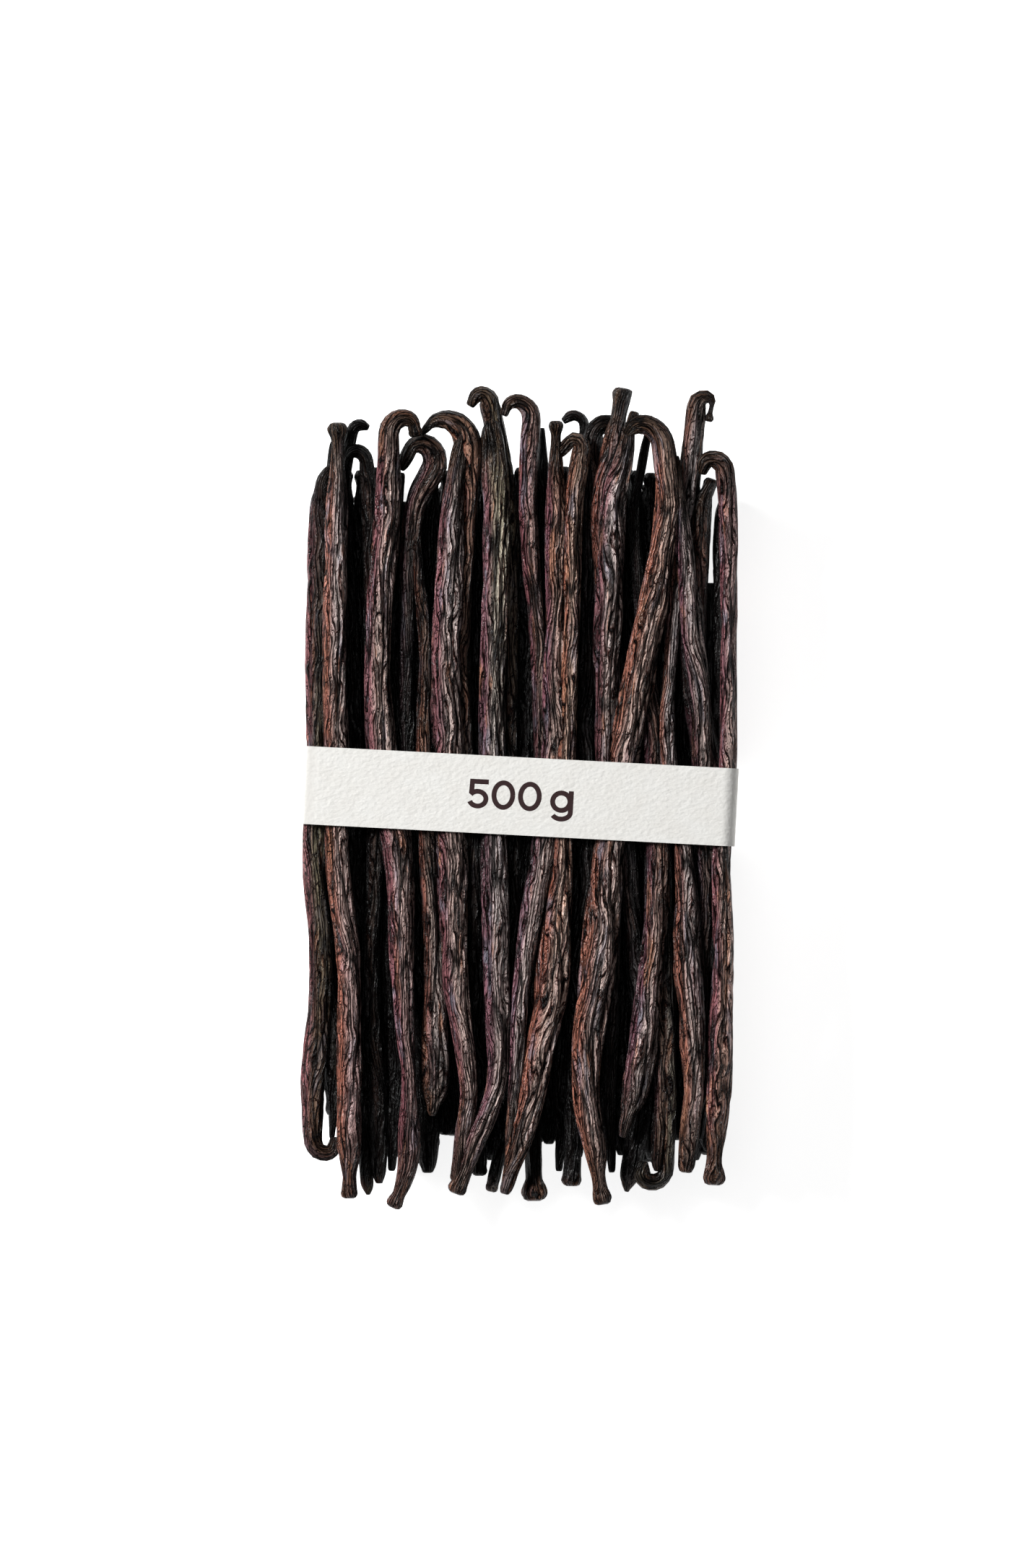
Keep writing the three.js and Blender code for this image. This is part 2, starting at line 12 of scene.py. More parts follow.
import bpy
import numpy as np
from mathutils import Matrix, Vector


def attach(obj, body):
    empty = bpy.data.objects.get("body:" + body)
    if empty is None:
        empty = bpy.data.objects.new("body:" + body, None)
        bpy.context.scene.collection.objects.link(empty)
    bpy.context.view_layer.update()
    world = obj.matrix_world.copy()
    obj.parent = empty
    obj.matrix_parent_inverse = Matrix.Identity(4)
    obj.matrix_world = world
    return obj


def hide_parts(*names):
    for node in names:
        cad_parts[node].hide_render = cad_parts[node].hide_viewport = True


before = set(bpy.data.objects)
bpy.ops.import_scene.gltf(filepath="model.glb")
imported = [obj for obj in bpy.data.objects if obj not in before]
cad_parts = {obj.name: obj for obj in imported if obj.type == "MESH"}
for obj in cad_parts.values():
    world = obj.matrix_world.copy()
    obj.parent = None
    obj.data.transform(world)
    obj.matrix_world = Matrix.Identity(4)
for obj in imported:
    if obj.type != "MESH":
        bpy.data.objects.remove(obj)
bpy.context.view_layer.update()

MM = 0.001

# ---- sizes of the bundle, in mm ------------------------------------------------

BUNDLE_DEPTH = 35.0  # floor to the ridge of the highest pods
PINCH = 1.9  # how far the band presses the bundle in, above and below
SIDE_PINCH = 0.8
PINCH_REACH = 26.0  # from the middle of the band to where its press is no longer felt
POD_FLATNESS = 0.86  # height of a pod for its width
EDGE_FLATNESS = 1.3
HIDDEN_FLANK = 0.25  # how much wider a pod is than what shows of it, for each mm it lies lower
FLANK_LIMIT = 4.0

BAND_LENGTH = 97.5
BAND_WIDTH = 17.5
BAND_PAPER = 0.5
BAND_TILT = math.radians(-3.0)
BAND_CORNER = 3.2
BAND_FLOOR_GAP = 0.9
BAND_TOP = 34.1
FLAP_LENGTH = 26.0  # the overlap, under the bundle
FLAP_PAPER = 0.45

STATIONS = [65.6, 32.7, 9.7, -12.3, -38.4, -66.3]  # where along Y the face pods are placed
WIDTH_AT = [0, 1, 2, 2, 3, 4]  # which of a pod's five widths holds at each station

ROW_HEIGHTS = [3.0, 9.0, 15.2, 21.4]
COLUMNS = 14
COLUMN_EDGE = 46.1
ROW_POD_WIDTH = (5.6, 7.0)
EDGE_POD_WIDTH = 4.2
ROW_WANDER = 1.5
ROW_LIFT = 0.4
ROW_TOPS = (69.0, 75.0)
ROW_FEET = (-83.5, -77.5)
STUB_START = 60.0  # inside this, hidden pods are left out
ROW_SEED = 4021
BEARERS = [2, 11]  # the two lowest pods that the bundle lies on
BEARING_Y = 57.5
FLOOR_CLEAR = 2.2
SLITS = [  # gaps that show the floor: from and to across, and where along Y they start
    (-38.3, -37.3, 70.0), (-26.0, -22.8, 68.5), (28.9, 30.3, 75.0), (42.4, 43.9, 50.0),
    (-44.6, -42.4, -74.0), (-17.6, -16.2, -78.5), (4.9, 6.2, -80.5), (34.6, 35.4, -79.5),
]
EDGE_TOPS = (64.0, 69.5)
EDGE_FEET = (-76.0, -78.0)
EDGE_INSET = 0.3
RAIL_END = 88.0  # how far along the blossom ends the rails are followed
CORE = ((-41.0, 41.0), (-66.0, 60.0), (5.5, 23.5))

BED_HEIGHT = 26.2
BED_PODS = 27
BED_EDGE = 42.6
BED_WIDTH = 3.9

# Ends of the lower pods: distance from the tip in mm, and share of the pod's width.
ROW_END = [(9, 1), (4, 0.72), (2.6, 0.5), (1.6, 0.46), (0.8, 0.62), (0.2, 0.5)]
BED_TOP = [(0.3, 0.55), (1.5, 0.78), (3.5, 0.6), (7, 0.8), (14, 1)]
BED_FOOT = [(14, 1), (7, 0.8), (3.5, 0.62), (1.5, 0.72), (0.3, 0.5)]


def knob(x, y, shoulder, neck, tip):
    """An end that runs straight out and finishes at x, y, in a knob if the tip is wider."""
    return (x, y, 0, 0, shoulder, neck, tip, 0)


def hook(x, y, turn, radius, shoulder, neck, tip, run=0.0):
    """An end that starts to curl at x, y and turns by that many degrees, to +X if positive.

    After the curl it may run on straight for a while.
    """
    return (x, y, turn, radius, shoulder, neck, tip, run)


# Name, depth below the top at each end, places across at the six stations, widths at five of
# them, the two ends, and the tones of the skin from the stalk end to the blossom end.
FACE_PODS = [
    ("rail_west", (4.2, 3.4), (-44.8, -45.5, -45.4, -46.2, -44.8, -46.6), (3.7, 4.2, 4.2, 4.4, 4.2),
     hook(-44.7, 68.6, 84, 4.9, 3.1, 2.5, 1.9), hook(-46.6, -77.2, 180, 2.4, 3.9, 2.9, 2.2),
     ("plum", "olive", "umber")),
    ("west_knob", (0.8, 0.8), (-41.1, -41.7, -41.2, -41.1, -38.6, -38.3), (4.5, 5.0, 5.0, 5.0, 5.2),
     knob(-41.0, 83.9, 3.5, 3.1, 4.5), knob(-38.4, -90.3, 5.1, 3.1, 3.6), ("slate", "mauve", "plum")),
    ("west_sliver", (5.5, 6.0), (-40.0, -38.3, -37.5, -37.3, -36.2, -35.1), (2.4, 2.9, 2.8, 2.6, 3.2),
     hook(-38.0, 81.6, 105, 1.9, 2.9, 2.7, 1.9), knob(-34.2, -89.7, 3.4, 3.1, 1.2),
     ("umber", "copper", "olive")),
    ("amber_under", (4.5, 5.0), (-33.8, -33.0, -32.2, -32.6, -33.5, -32.2), (3.2, 3.2, 2.9, 2.3, 3.2),
     hook(-34.8, 75.2, -125, 2.1, 3.1, 2.6, 1.8), knob(-31.6, -87.1, 3.6, 3.4, 2.0),
     ("umber", "copper", "umber")),
    ("crook_west", (0.6, 0.6), (-29.6, -32.2, -30.9, -27.5, -26.5, -25.0), (5.5, 5.3, 6.5, 4.7, 3.2),
     hook(-29.5, 81.2, 168, 2.9, 4.4, 2.6, 2.9), hook(-24.9, -76.6, -26, 29.0, 4.6, 2.9, 3.6),
     ("mauve", "mauve", "plum")),
    ("crook_shadow", (5.5, 6.5), (-27.9, -28.8, -27.9, -28.4, -28.4, -27.9), (2.3, 2.6, 2.9, 3.2, 3.2),
     knob(-26.6, 72.8, 2.4, 2.3, 1.9), knob(-29.0, -84.3, 3.0, 2.0, 1.8), ("umber", "plum", "slate")),
    ("arch_low", (3.4, 7.0), (-23.6, -25.5, -25.5, -23.6, -22.0, -20.8), (3.6, 2.6, 2.6, 3.2, 4.2),
     hook(-19.6, 73.2, -180, 3.3, 5.2, 3.3, 2.4, 3.0), knob(-20.9, -84.8, 5.4, 5.0, 3.2),
     ("umber", "slate", "olive")),
    ("split_strand", (4.2, 2.0), (-23.1, -21.5, -21.8, -21.0, -19.5, -19.2), (1.9, 2.3, 2.9, 3.9, 5.2),
     knob(-17.6, 75.6, 1.9, 1.8, 2.4), knob(-19.8, -71.8, 3.6, 3.2, 1.9), ("umber", "copper", "slate")),
    ("broad_west", (0.7, 0.9), (-15.0, -16.6, -16.0, -15.3, -14.7, -11.7), (4.9, 6.5, 6.8, 5.3, 3.7),
     knob(-13.1, 81.2, 4.2, 3.8, 3.0), knob(-14.3, -86.4, 3.6, 2.8, 3.0), ("slate", "mauve", "mauve")),
    ("arch_high", (2.6, 6.0), (-11.4, -13.0, -12.2, -10.6, -9.8, -9.2), (2.9, 2.6, 2.6, 2.6, 2.9),
     hook(-11.7, 78.3, -140, 5.3, 5.9, 1.9, 1.2, 1.6), knob(-9.3, -85.4, 3.6, 3.4, 3.5),
     ("umber", "copper", "slate")),
    ("olive_mid", (0.4, 0.6), (-5.3, -5.9, -6.2, -5.9, -5.4, -5.8), (5.8, 5.5, 5.8, 5.5, 4.2),
     knob(-6.6, 84.4, 5.9, 5.1, 3.6), knob(-14.6, -89.2, 4.4, 3.4, 3.9), ("olive", "slate", "mauve")),
    ("tall_knob", (3.2, 6.5), (-3.0, -2.0, -2.0, -1.1, -1.1, -1.4), (3.8, 2.3, 2.3, 2.3, 2.3),
     hook(-7.0, 88.4, -140, 1.75, 4.2, 3.1, 2.6), knob(-6.6, -89.0, 2.9, 2.9, 3.1),
     ("olive", "copper", "olive")),
    ("mid_crook", (1.6, 5.5), (1.7, 4.0, 4.6, 4.5, 3.2, 2.8), (3.6, 2.8, 2.9, 3.2, 3.6),
     hook(2.5, 84.6, -160, 3.0, 4.5, 2.3, 2.2), knob(3.1, -91.0, 3.6, 3.6, 5.4),
     ("plum", "copper", "umber")),
    ("mid_under", (6.5, 6.5), (0.2, 1.5, 1.2, 0.2, 0.2, 0.6), (2.3, 2.9, 2.6, 2.1, 1.9),
     knob(0.6, 74.0, 2.3, 2.0, 1.9), knob(-0.7, -79.5, 1.9, 1.7, 1.6), ("slate", "slate", "umber")),
    ("pale_left", (0.8, 1.4), (7.9, 7.7, 7.0, 5.1, 0.6, -1.4), (3.9, 4.4, 5.5, 4.0, 2.3),
     knob(7.9, 84.3, 3.4, 2.2, 3.3), knob(-2.8, -79.5, 2.1, 1.9, 1.6), ("umber", "mauve", "slate")),
    ("pale_right", (1.0, 0.6), (11.9, 11.4, 10.1, 9.3, 7.5, 2.8), (4.2, 4.0, 4.4, 7.1, 5.8),
     hook(13.8, 77.6, -146, 1.7, 4.2, 2.9, 1.0, 4.4), knob(-3.6, -89.3, 4.6, 3.5, 2.7),
     ("copper", "copper", "mauve")),
    ("nub_under", (7.0, 7.5), (5.2, 4.9, 5.1, 2.3, -1.4, -4.3), (2.6, 1.9, 2.3, 2.3, 2.6),
     knob(5.0, 82.9, 3.0, 1.7, 1.4), knob(-3.8, -82.6, 2.6, 2.4, 2.3), ("umber", "umber", "slate")),
    ("hooklet", (6.5, 7.5), (14.2, 13.4, 12.9, 12.9, 10.4, 9.3), (2.3, 2.1, 2.1, 2.3, 2.6),
     hook(14.4, 82.9, -125, 2.2, 2.2, 2.5, 2.2), knob(8.7, -84.4, 2.4, 2.0, 1.8),
     ("umber", "umber", "umber")),
    ("arch_small", (4.4, 5.5), (16.4, 14.8, 14.7, 15.0, 13.2, 12.1), (2.9, 2.4, 2.4, 2.9, 3.2),
     hook(16.3, 80.3, 125, 3.0, 4.3, 3.6, 2.8), knob(11.5, -87.7, 3.8, 3.8, 4.3),
     ("plum", "slate", "umber")),
    ("spear", (2.4, 5.5), (18.4, 20.2, 21.8, 24.1, 25.8, 27.9), (3.9, 3.2, 3.2, 3.2, 3.2),
     knob(23.3, 91.7, 4.8, 3.4, 4.3), knob(23.9, -89.0, 4.8, 4.7, 1.3), ("plum", "slate", "slate")),
    ("leaning_knob", (1.0, 5.0), (20.8, 19.7, 19.0, 20.2, 21.1, 20.3), (5.5, 5.5, 3.6, 2.6, 2.3),
     knob(25.7, 86.4, 3.9, 2.6, 2.5), knob(20.5, -84.6, 2.2, 1.9, 1.7), ("slate", "mauve", "slate")),
    ("diagonal", (0.0, 0.0), (33.1, 27.8, 23.2, 20.2, 17.3, 14.7), (5.3, 7.1, 7.5, 7.3, 5.8),
     hook(32.3, 78.4, -135, 4.5, 5.1, 3.4, 2.3), knob(18.7, -91.6, 4.5, 3.3, 4.4),
     ("copper", "mauve", "mauve")),
    ("under_arch", (5.0, 0.9), (25.8, 27.9, 30.4, 30.9, 29.6, 25.7), (1.9, 2.9, 5.2, 5.5, 5.5),
     knob(28.8, 81.8, 2.0, 1.9, 1.9), knob(22.9, -76.6, 3.8, 3.2, 1.9), ("slate", "umber", "slate")),
    ("buried_crook", (7.0, 3.6), (32.0, 30.4, 31.7, 32.3, 33.1, 33.6), (1.9, 2.3, 2.3, 2.3, 2.4),
     knob(31.8, 74.4, 1.9, 1.8, 1.8), hook(33.1, -83.3, -185, 2.8, 3.1, 3.6, 2.8),
     ("umber", "slate", "olive")),
    ("ember", (7.0, 3.4), (33.9, 32.3, 29.1, 29.9, 31.0, 31.8), (1.9, 2.3, 2.3, 2.3, 2.6),
     knob(33.9, 72.4, 1.8, 1.6, 1.6), knob(30.9, -84.3, 3.6, 3.4, 2.4), ("umber", "umber", "copper")),
    ("east_crook", (3.0, 0.9), (37.3, 33.9, 33.1, 36.9, 37.7, 39.1), (4.6, 2.6, 3.6, 5.7, 4.2),
     hook(39.7, 87.7, 186, 1.65, 4.1, 1.2, 2.1, 2.2), knob(37.1, -84.5, 4.7, 4.3, 4.0),
     ("slate", "slate", "mauve")),
    ("east_broad", (0.8, 5.5), (36.0, 38.8, 40.9, 41.6, 41.6, 41.1), (2.3, 5.8, 4.9, 2.9, 2.6),
     knob(35.2, 76.4, 2.0, 1.6, 1.3), knob(40.1, -77.2, 2.5, 2.3, 1.9), ("slate", "mauve", "umber")),
    ("east_short", (3.4, 4.5), (41.0, 40.1, 42.8, 45.4, 45.8, 45.5), (3.3, 2.6, 2.3, 2.3, 2.3),
     knob(43.1, 71.4, 3.2, 3.0, 3.3), knob(44.9, -78.0, 1.9, 1.6, 1.5), ("umber", "plum", "plum")),
    ("rail_east", (1.2, 0.8), (46.6, 46.7, 46.6, 45.3, 45.6, 44.5), (3.9, 3.2, 3.7, 4.4, 5.3),
     hook(46.0, 73.0, -168, 2.45, 4.1, 3.3, 2.4), knob(43.4, -87.3, 4.3, 3.6, 5.0),
     ("plum", "mauve", "umber")),
    ("rail_under", (5.5, 5.0), (44.3, 44.5, 44.3, 43.2, 40.7, 40.4), (1.6, 2.3, 2.3, 2.9, 3.2),
     knob(44.8, 61.0, 1.9, 1.7, 1.2), knob(39.1, -78.0, 2.7, 2.3, 1.9), ("slate", "slate", "mauve")),
    ("loop_inner", (6.5, 5.0), (-43.3, -44.0, -44.0, -43.0, -43.0, -41.6), (1.6, 1.9, 2.3, 2.1, 2.2),
     knob(-42.2, 79.8, 1.9, 1.5, 1.1), knob(-42.3, -77.2, 2.1, 1.4, 1.0), ("slate", "slate", "olive")),
]

# ---- colours -------------------------------------------------------------------

TONES = {
    "slate": "#D8CBC9",
    "mauve": "#DCC1B8",
    "plum": "#BA9494",
    "copper": "#D0B09E",
    "umber": "#BC8A74",
    "olive": "#CCC2A0",
}
SHADED_FLANK_TONES = ["#A05844", "#8C4E58", "#A8624C", "#80485A"]  # painted shade: one flank of each pod, redder and darker
SHADED_FLANK_SHARE = 0.9
ROW_TONES = [("plum", "umber", "plum"), ("slate", "mauve", "umber"), ("umber", "copper", "umber"),
             ("mauve", "plum", "slate"), ("olive", "umber", "plum"), ("umber", "slate", "olive")]
STALK_TONE = "#94745C"  # the stalk end, woodier and darker than the pod
STALK_REACH = 20.0
FOOT_REACH = 22.0
FOOT_RIPE = 0.4  # how far the blossom end keeps the pod's own tone
STALK_PALE = 0.42  # how pale the skin of an end is, where that of the pod is 1


def linear(hex_colour):
    """An sRGB hex colour as linear RGB."""
    parts = [int(hex_colour[i:i + 2], 16) / 255 for i in (1, 3, 5)]
    return tuple(p / 12.92 if p <= 0.04045 else ((p + 0.055) / 1.055) ** 2.4 for p in parts)


# ---- seeded draws and noise ------------------------------------------------------

draw_state = ROW_SEED


def draw(low, high):
    """The next seeded draw between low and high, the same as in the solids."""
    global draw_state
    draw_state = draw_state * 16807 % 2147483647
    return low + (high - low) * draw_state / 2147483647


GRADIENTS = np.random.default_rng(11).normal(size=(256, 3))
GRADIENTS /= np.linalg.norm(GRADIENTS, axis=1)[:, None]


def noise(points, seed):
    """Smooth gradient noise, about -0.7 to 0.7, of points in an (..., 3) array."""
    cell = np.floor(points).astype(np.int64)
    part = points - cell
    fade = part * part * part * (part * (part * 6 - 15) + 10)
    total = np.zeros(points.shape[:-1])
    for corner in range(8):
        offset = np.array([corner & 1, corner >> 1 & 1, corner >> 2 & 1])
        at = cell + offset
        code = at[..., 0] * 374761393 + at[..., 1] * 668265263 + at[..., 2] * 1103515245
        code = code + seed * 362437
        code = (code ^ (code >> 13)) * 1274126177
        gradient = GRADIENTS[(code ^ (code >> 16)) & 255]
        weight = np.prod(np.where(offset == 1, fade, 1 - fade), axis=-1)
        total += weight * np.sum(gradient * (part - offset), axis=-1)
    return total


def creases(field, wide, sharp=1.0):
    """1 along the thin valleys between rounded ridges, falling to 0 on the ridges."""
    return (1 - np.minimum(1, np.abs(field) / wide)) ** sharp


# ---- the line and width of each pod ---------------------------------------------

CURL_STEP = 16.0  # degrees between control points round a curl
CURL_OPEN = 1.45  # how much wider than its mean radius a curl starts
CURL_TIGHTEN = 0.9
CURL_HOLD = 1.4  # how long a curl keeps the width of its shoulder
SHOULDER_REACH = 11.0  # from the tip back to where a straight end starts to narrow


def smooth_step(t):
    t = np.clip(t, 0, 1)
    return t * t * (3 - 2 * t)


def pinch_at(y):
    """How much of the band's pinch is felt at y: 1 under the band, 0 beyond its reach."""
    start = 0.75 * BAND_WIDTH
    return 1 - smooth_step((np.abs(y) - start) / (PINCH_REACH - start))


def depth_at(deep, y):
    """How deep a pod lies at y, from its depths at the two ends."""
    t = np.clip((STATIONS[0] - y) / (STATIONS[0] - STATIONS[5]), 0, 1)
    return deep[0] + (deep[1] - deep[0]) * t


def end_points(end, side, start, height):
    """Control points (x, y, z, width) of one end, out to its tip.

    side is 1 at the stalk end and -1 at the blossom end; start is the station it leaves.
    A curl tightens as it goes, as a drying stalk does.
    """
    x, y, turn, radius, shoulder, neck, tip, run = end
    level = height(y, neck)
    at = np.array([x, y], float)
    heading = at - np.array(start[:2])
    if heading[1] * side <= 0:
        heading = np.array([0.0, side])
    heading = heading / np.linalg.norm(heading)
    points = []
    if turn:
        angle = math.atan2(heading[0], side * heading[1])
        steps = max(4, round(abs(turn) / CURL_STEP))
        bend = math.radians(turn) / steps
        points.append((*at, level, shoulder))
        for i in range(steps):
            length = abs(bend) * radius * (CURL_OPEN - CURL_TIGHTEN * (i + 0.5) / steps)
            middle = angle + bend * (i + 0.5)
            at = at + length * np.array([math.sin(middle), side * math.cos(middle)])
            share = ((i + 1) / steps) ** CURL_HOLD
            points.append((*at, level, shoulder + (neck - shoulder) * share))
        angle += bend * steps
        heading = np.array([math.sin(angle), side * math.cos(angle)])
        at = at + heading * (0.9 * tip + run)
        room = 0.85 * tip + max(0, run - 1.0)
    else:
        room = abs(y - start[1]) - 1.5
        if abs(y - start[1]) > SHOULDER_REACH + 3:
            points.append((*(at - heading * SHOULDER_REACH), level, shoulder))

    # Distance from the tip, in widths of the tip, and the width there.
    if tip > neck:
        profile = [(1.5, neck), (0.9, 1.02 * neck), (0.55, 0.93 * tip), (0.28, tip), (0.07, 0.8 * tip)]
    else:
        slim = neck / tip
        profile = [(1.6 * slim, neck), (0.75 * slim, 0.88 * neck),
                   (0.3 * slim, 0.4 * neck + 0.45 * tip), (0.06, 0.72 * tip)]
    for distance, width in profile:
        if distance * tip <= room:
            points.append((*(at - heading * distance * tip), level, width))
    return points


def centripetal(points, per_span):
    """Points on the centripetal Catmull-Rom curve through (n, 4) control points."""
    points = np.asarray(points, float)
    ends = np.vstack([2 * points[0] - points[1], points, 2 * points[-1] - points[-2]])
    out = []
    for i in range(len(points) - 1):
        p0, p1, p2, p3 = ends[i:i + 4]
        spans = ((p0, p1), (p1, p2), (p2, p3))
        gaps = [max(1e-4, np.linalg.norm((b - a)[:3])) ** 0.5 for a, b in spans]
        t1 = (p1 - p0) / gaps[0] - (p2 - p0) / (gaps[0] + gaps[1]) + (p2 - p1) / gaps[1]
        t2 = (p2 - p1) / gaps[1] - (p3 - p1) / (gaps[1] + gaps[2]) + (p3 - p2) / gaps[2]
        t1, t2 = t1 * gaps[1], t2 * gaps[1]
        t = np.linspace(0, 1, per_span, endpoint=False)[:, None]
        a = 2 * (p1 - p2) + t1 + t2
        b = 3 * (p2 - p1) - 2 * t1 - t2
        out.append(((a * t + b) * t + t1) * t + p1)
    out.append(points[-1:])
    return np.vstack(out)


def resample(line, run_step, end_step, end_reach):
    """The line again, with points run_step apart, and end_step apart near its ends."""
    lengths = np.r_[0, np.cumsum(np.linalg.norm(np.diff(line[:, :3], axis=0), axis=1))]
    total = lengths[-1]
    at = [0.0]
    while at[-1] < total:
        near = min(at[-1], total - at[-1])
        step = end_step + (run_step - end_step) * float(smooth_step(near / end_reach))
        at.append(at[-1] + step)
    at = np.array(at) * total / at[-1]
    return np.stack([np.interp(at, lengths, line[:, k]) for k in range(4)], axis=1), at


def face_line(pod):
    """Control points of one pod of the shown face."""
    _, deep, across, wide, top, foot, _ = pod
    extra = HIDDEN_FLANK * min(FLANK_LIMIT, min(deep))

    def height(y, w):
        below = max(float(depth_at(deep, y)), PINCH * float(pinch_at(y)))
        return BUNDLE_DEPTH - below - 0.5 * POD_FLATNESS * w

    run = []
    for i, y in enumerate(STATIONS):
        w = wide[WIDTH_AT[i]] + extra
        if foot[1] + 2 < y < top[1] - 2:
            run.append((across[i], y, height(y, w), w))
    stalk = end_points(top, 1, run[0], height)[::-1]
    return stalk + run + end_points(foot, -1, run[-1], height)


# ---- skin ----------------------------------------------------------------------

def section_angles(columns, back_columns, dense):
    """Angles round a pod from straight up: close together within dense degrees of it."""
    front = np.linspace(-dense, dense, columns)
    back = np.linspace(dense, 180, back_columns // 2 + 1)[1:]
    return np.radians(np.r_[-back[::-1], front, back[:-1]])


STRAND_PITCH = 0.78  # from ridge to ridge of the shrunken skin
SKIN_RADIUS = 0.47  # of the skin's own coordinates, in widths of the pod
TWIST = 0.25
TWIST_LENGTH = 23.0
WANDER = 0.35  # how far the strands leave a straight line, in mm
RING_STEP = 0.45  # between rings near the ends, where the curls are
END_REACH = 9.0

# Patterns of the relief: size across a pod in mm, how many times longer it is along the pod, and
# a shift that keeps the pods apart.
FOLDS = (2.2, 14, 3.3)
STRAND_DRIFT = (2.6, 4.0, 5.9)
STRAND_WAVER = (1.2, 4, 2.7)
LUMPS = (5.0, 2.2, 1.9)
DENTS = (1.6, 1.6, 4.2)
CRIMPS = (1.5, 0.45, 6.4)

# Their depths in mm, on a pod that is as wide as STOUT_POD.
STOUT_POD = 6.0
FOLD_DEPTH = 0.7
STRAND_DEPTH = 0.24
CRIMP_DEPTH = 0.26
DENT_DEPTH = 0.12


def pod_skin(line, seed, angles, flatness=POD_FLATNESS, run_step=1.2):
    """Vertices, quads and skin values of one pod along a line of (x, y, z, width)."""
    ring, along = resample(line, run_step, min(RING_STEP, run_step), END_REACH)
    centre, width = ring[:, :3], ring[:, 3]
    n, m = len(ring), len(angles)
    tangent = np.gradient(centre, axis=0)
    tangent /= np.linalg.norm(tangent, axis=1)[:, None]
    sideways = np.cross(tangent, [0, 0, 1])
    sideways /= np.linalg.norm(sideways, axis=1)[:, None]
    over = np.cross(sideways, tangent)
    bend = np.linalg.norm(np.gradient(tangent, axis=0), axis=1) / np.gradient(along)
    bend = np.convolve(bend, np.ones(9) / 9, mode="same")

    s = along[:, None] + np.zeros((1, m))
    radius = SKIN_RADIUS * width[:, None]
    slow = np.stack([along / TWIST_LENGTH, 0 * along, 0 * along], axis=-1)
    angle = angles[None, :] + TWIST * noise(slow + 0.37 * seed, seed + 5)[:, None] * 4
    wander = np.stack([np.cos(angle) * radius / 3.0, np.sin(angle) * radius / 3.0, s / 9.0], axis=-1)
    angle = angle + WANDER / radius * noise(wander + 7.1 * seed, seed + 6)
    round_x = np.cos(angle) * radius
    round_y = np.sin(angle) * radius

    def pattern(size, stretch, shift, number):
        where = [round_x / size, round_y / size, s / (size * stretch)]
        return noise(np.stack(where, axis=-1) + shift * seed, seed + number)

    folds = pattern(*FOLDS, 0)
    girth = 2 * math.pi * SKIN_RADIUS * float(np.percentile(width, 70))
    count = max(4, round(girth / STRAND_PITCH))
    strand = angle / (2 * math.pi) * count + 2.6 * pattern(*STRAND_DRIFT, 1)
    strand = strand + 0.8 * pattern(*STRAND_WAVER, 2)
    ridges = np.abs(np.sin(math.pi * strand)) ** 0.7
    bent = np.clip(bend[:, None] * 6 - 0.25, 0, 1)
    crimp = creases(pattern(*CRIMPS, 7), 0.16, 1.4) * bent
    stout = (width[:, None] / STOUT_POD) ** 0.75
    relief = stout * (FOLD_DEPTH * creases(folds, 0.26, 1.2) - STRAND_DEPTH * ridges
                      + CRIMP_DEPTH * crimp + DENT_DEPTH * pattern(*DENTS, 4))
    swell = 1.0 + 0.10 * pattern(*LUMPS, 3)

    half = 0.5 * width[:, None] * swell
    reach = half - relief + relief.mean(axis=1)[:, None]
    out_across = np.sin(angles)[None, :] * reach
    out_over = np.cos(angles)[None, :] * reach * flatness
    points = (centre[:, None, :] + out_across[..., None] * sideways[:, None, :]
              + out_over[..., None] * over[:, None, :])

    caps = []
    for end, direction in ((0, -1), (n - 1, 1)):
        outward = tangent[end] * direction
        for narrow, bulge in ((0.62, 0.09), (0.22, 0.03)):
            cap = centre[end] + (points[end] - centre[end]) * narrow + outward * bulge * width[end]
            caps.append(cap[None])
    points = np.concatenate([caps[1], caps[0], points, caps[2], caps[3]])
    rows = n + 4

    ridge = 1 - np.clip(creases(folds, 0.12) + 0.5 * crimp, 0, 1)
    ridge = np.vstack([ridge[:1] * 0.4, ridge[:1], ridge, ridge[-1:], ridge[-1:] * 0.4])
    strand = np.vstack([strand[:1], strand[:1], strand, strand[-1:], strand[-1:]])
    grain = np.stack([round_x, round_y, s + 211.0 * seed], axis=-1)
    first, last, narrow = grain[:1], grain[-1:], [0.3, 0.3, 1]
    grain = np.concatenate([first * narrow, first, grain, last, last * narrow])
    progress = np.r_[0, 0, along / along[-1], 1, 1]

    index = np.arange(rows * m).reshape(rows, m)
    right = np.roll(index, -1, axis=1)
    quads = np.stack([index[:-1], index[1:], right[1:], right[:-1]], axis=-1).reshape(-1, 4)
    vertices = np.vstack([points.reshape(-1, 3), points[0].mean(axis=0), points[-1].mean(axis=0)])
    vertices[:, 2] = np.maximum(vertices[:, 2], 0.0)
    top_fan = np.stack([np.full(m, rows * m), index[0], right[0]], axis=-1)
    foot_fan = np.stack([np.full(m, rows * m + 1), right[-1], index[-1]], axis=-1)
    return {
        "vertices": vertices, "quads": quads, "fans": np.vstack([top_fan, foot_fan]),
        "shaded_flank": np.r_[np.tile(np.sin(angles), rows), 0, 0], "seed": seed, "length": along[-1],
        "ridge": np.r_[ridge.ravel(), 0.2, 0.2],
        "strand": np.r_[strand.ravel(), strand[0].mean(), strand[-1].mean()],
        "grain": np.vstack([grain.reshape(-1, 3), grain[0, 0], grain[-1, 0]]),
        "progress": np.r_[np.repeat(progress, m), 0, 1],
        "column": np.r_[np.tile(np.arange(m), rows), 0, 0] / m,
    }


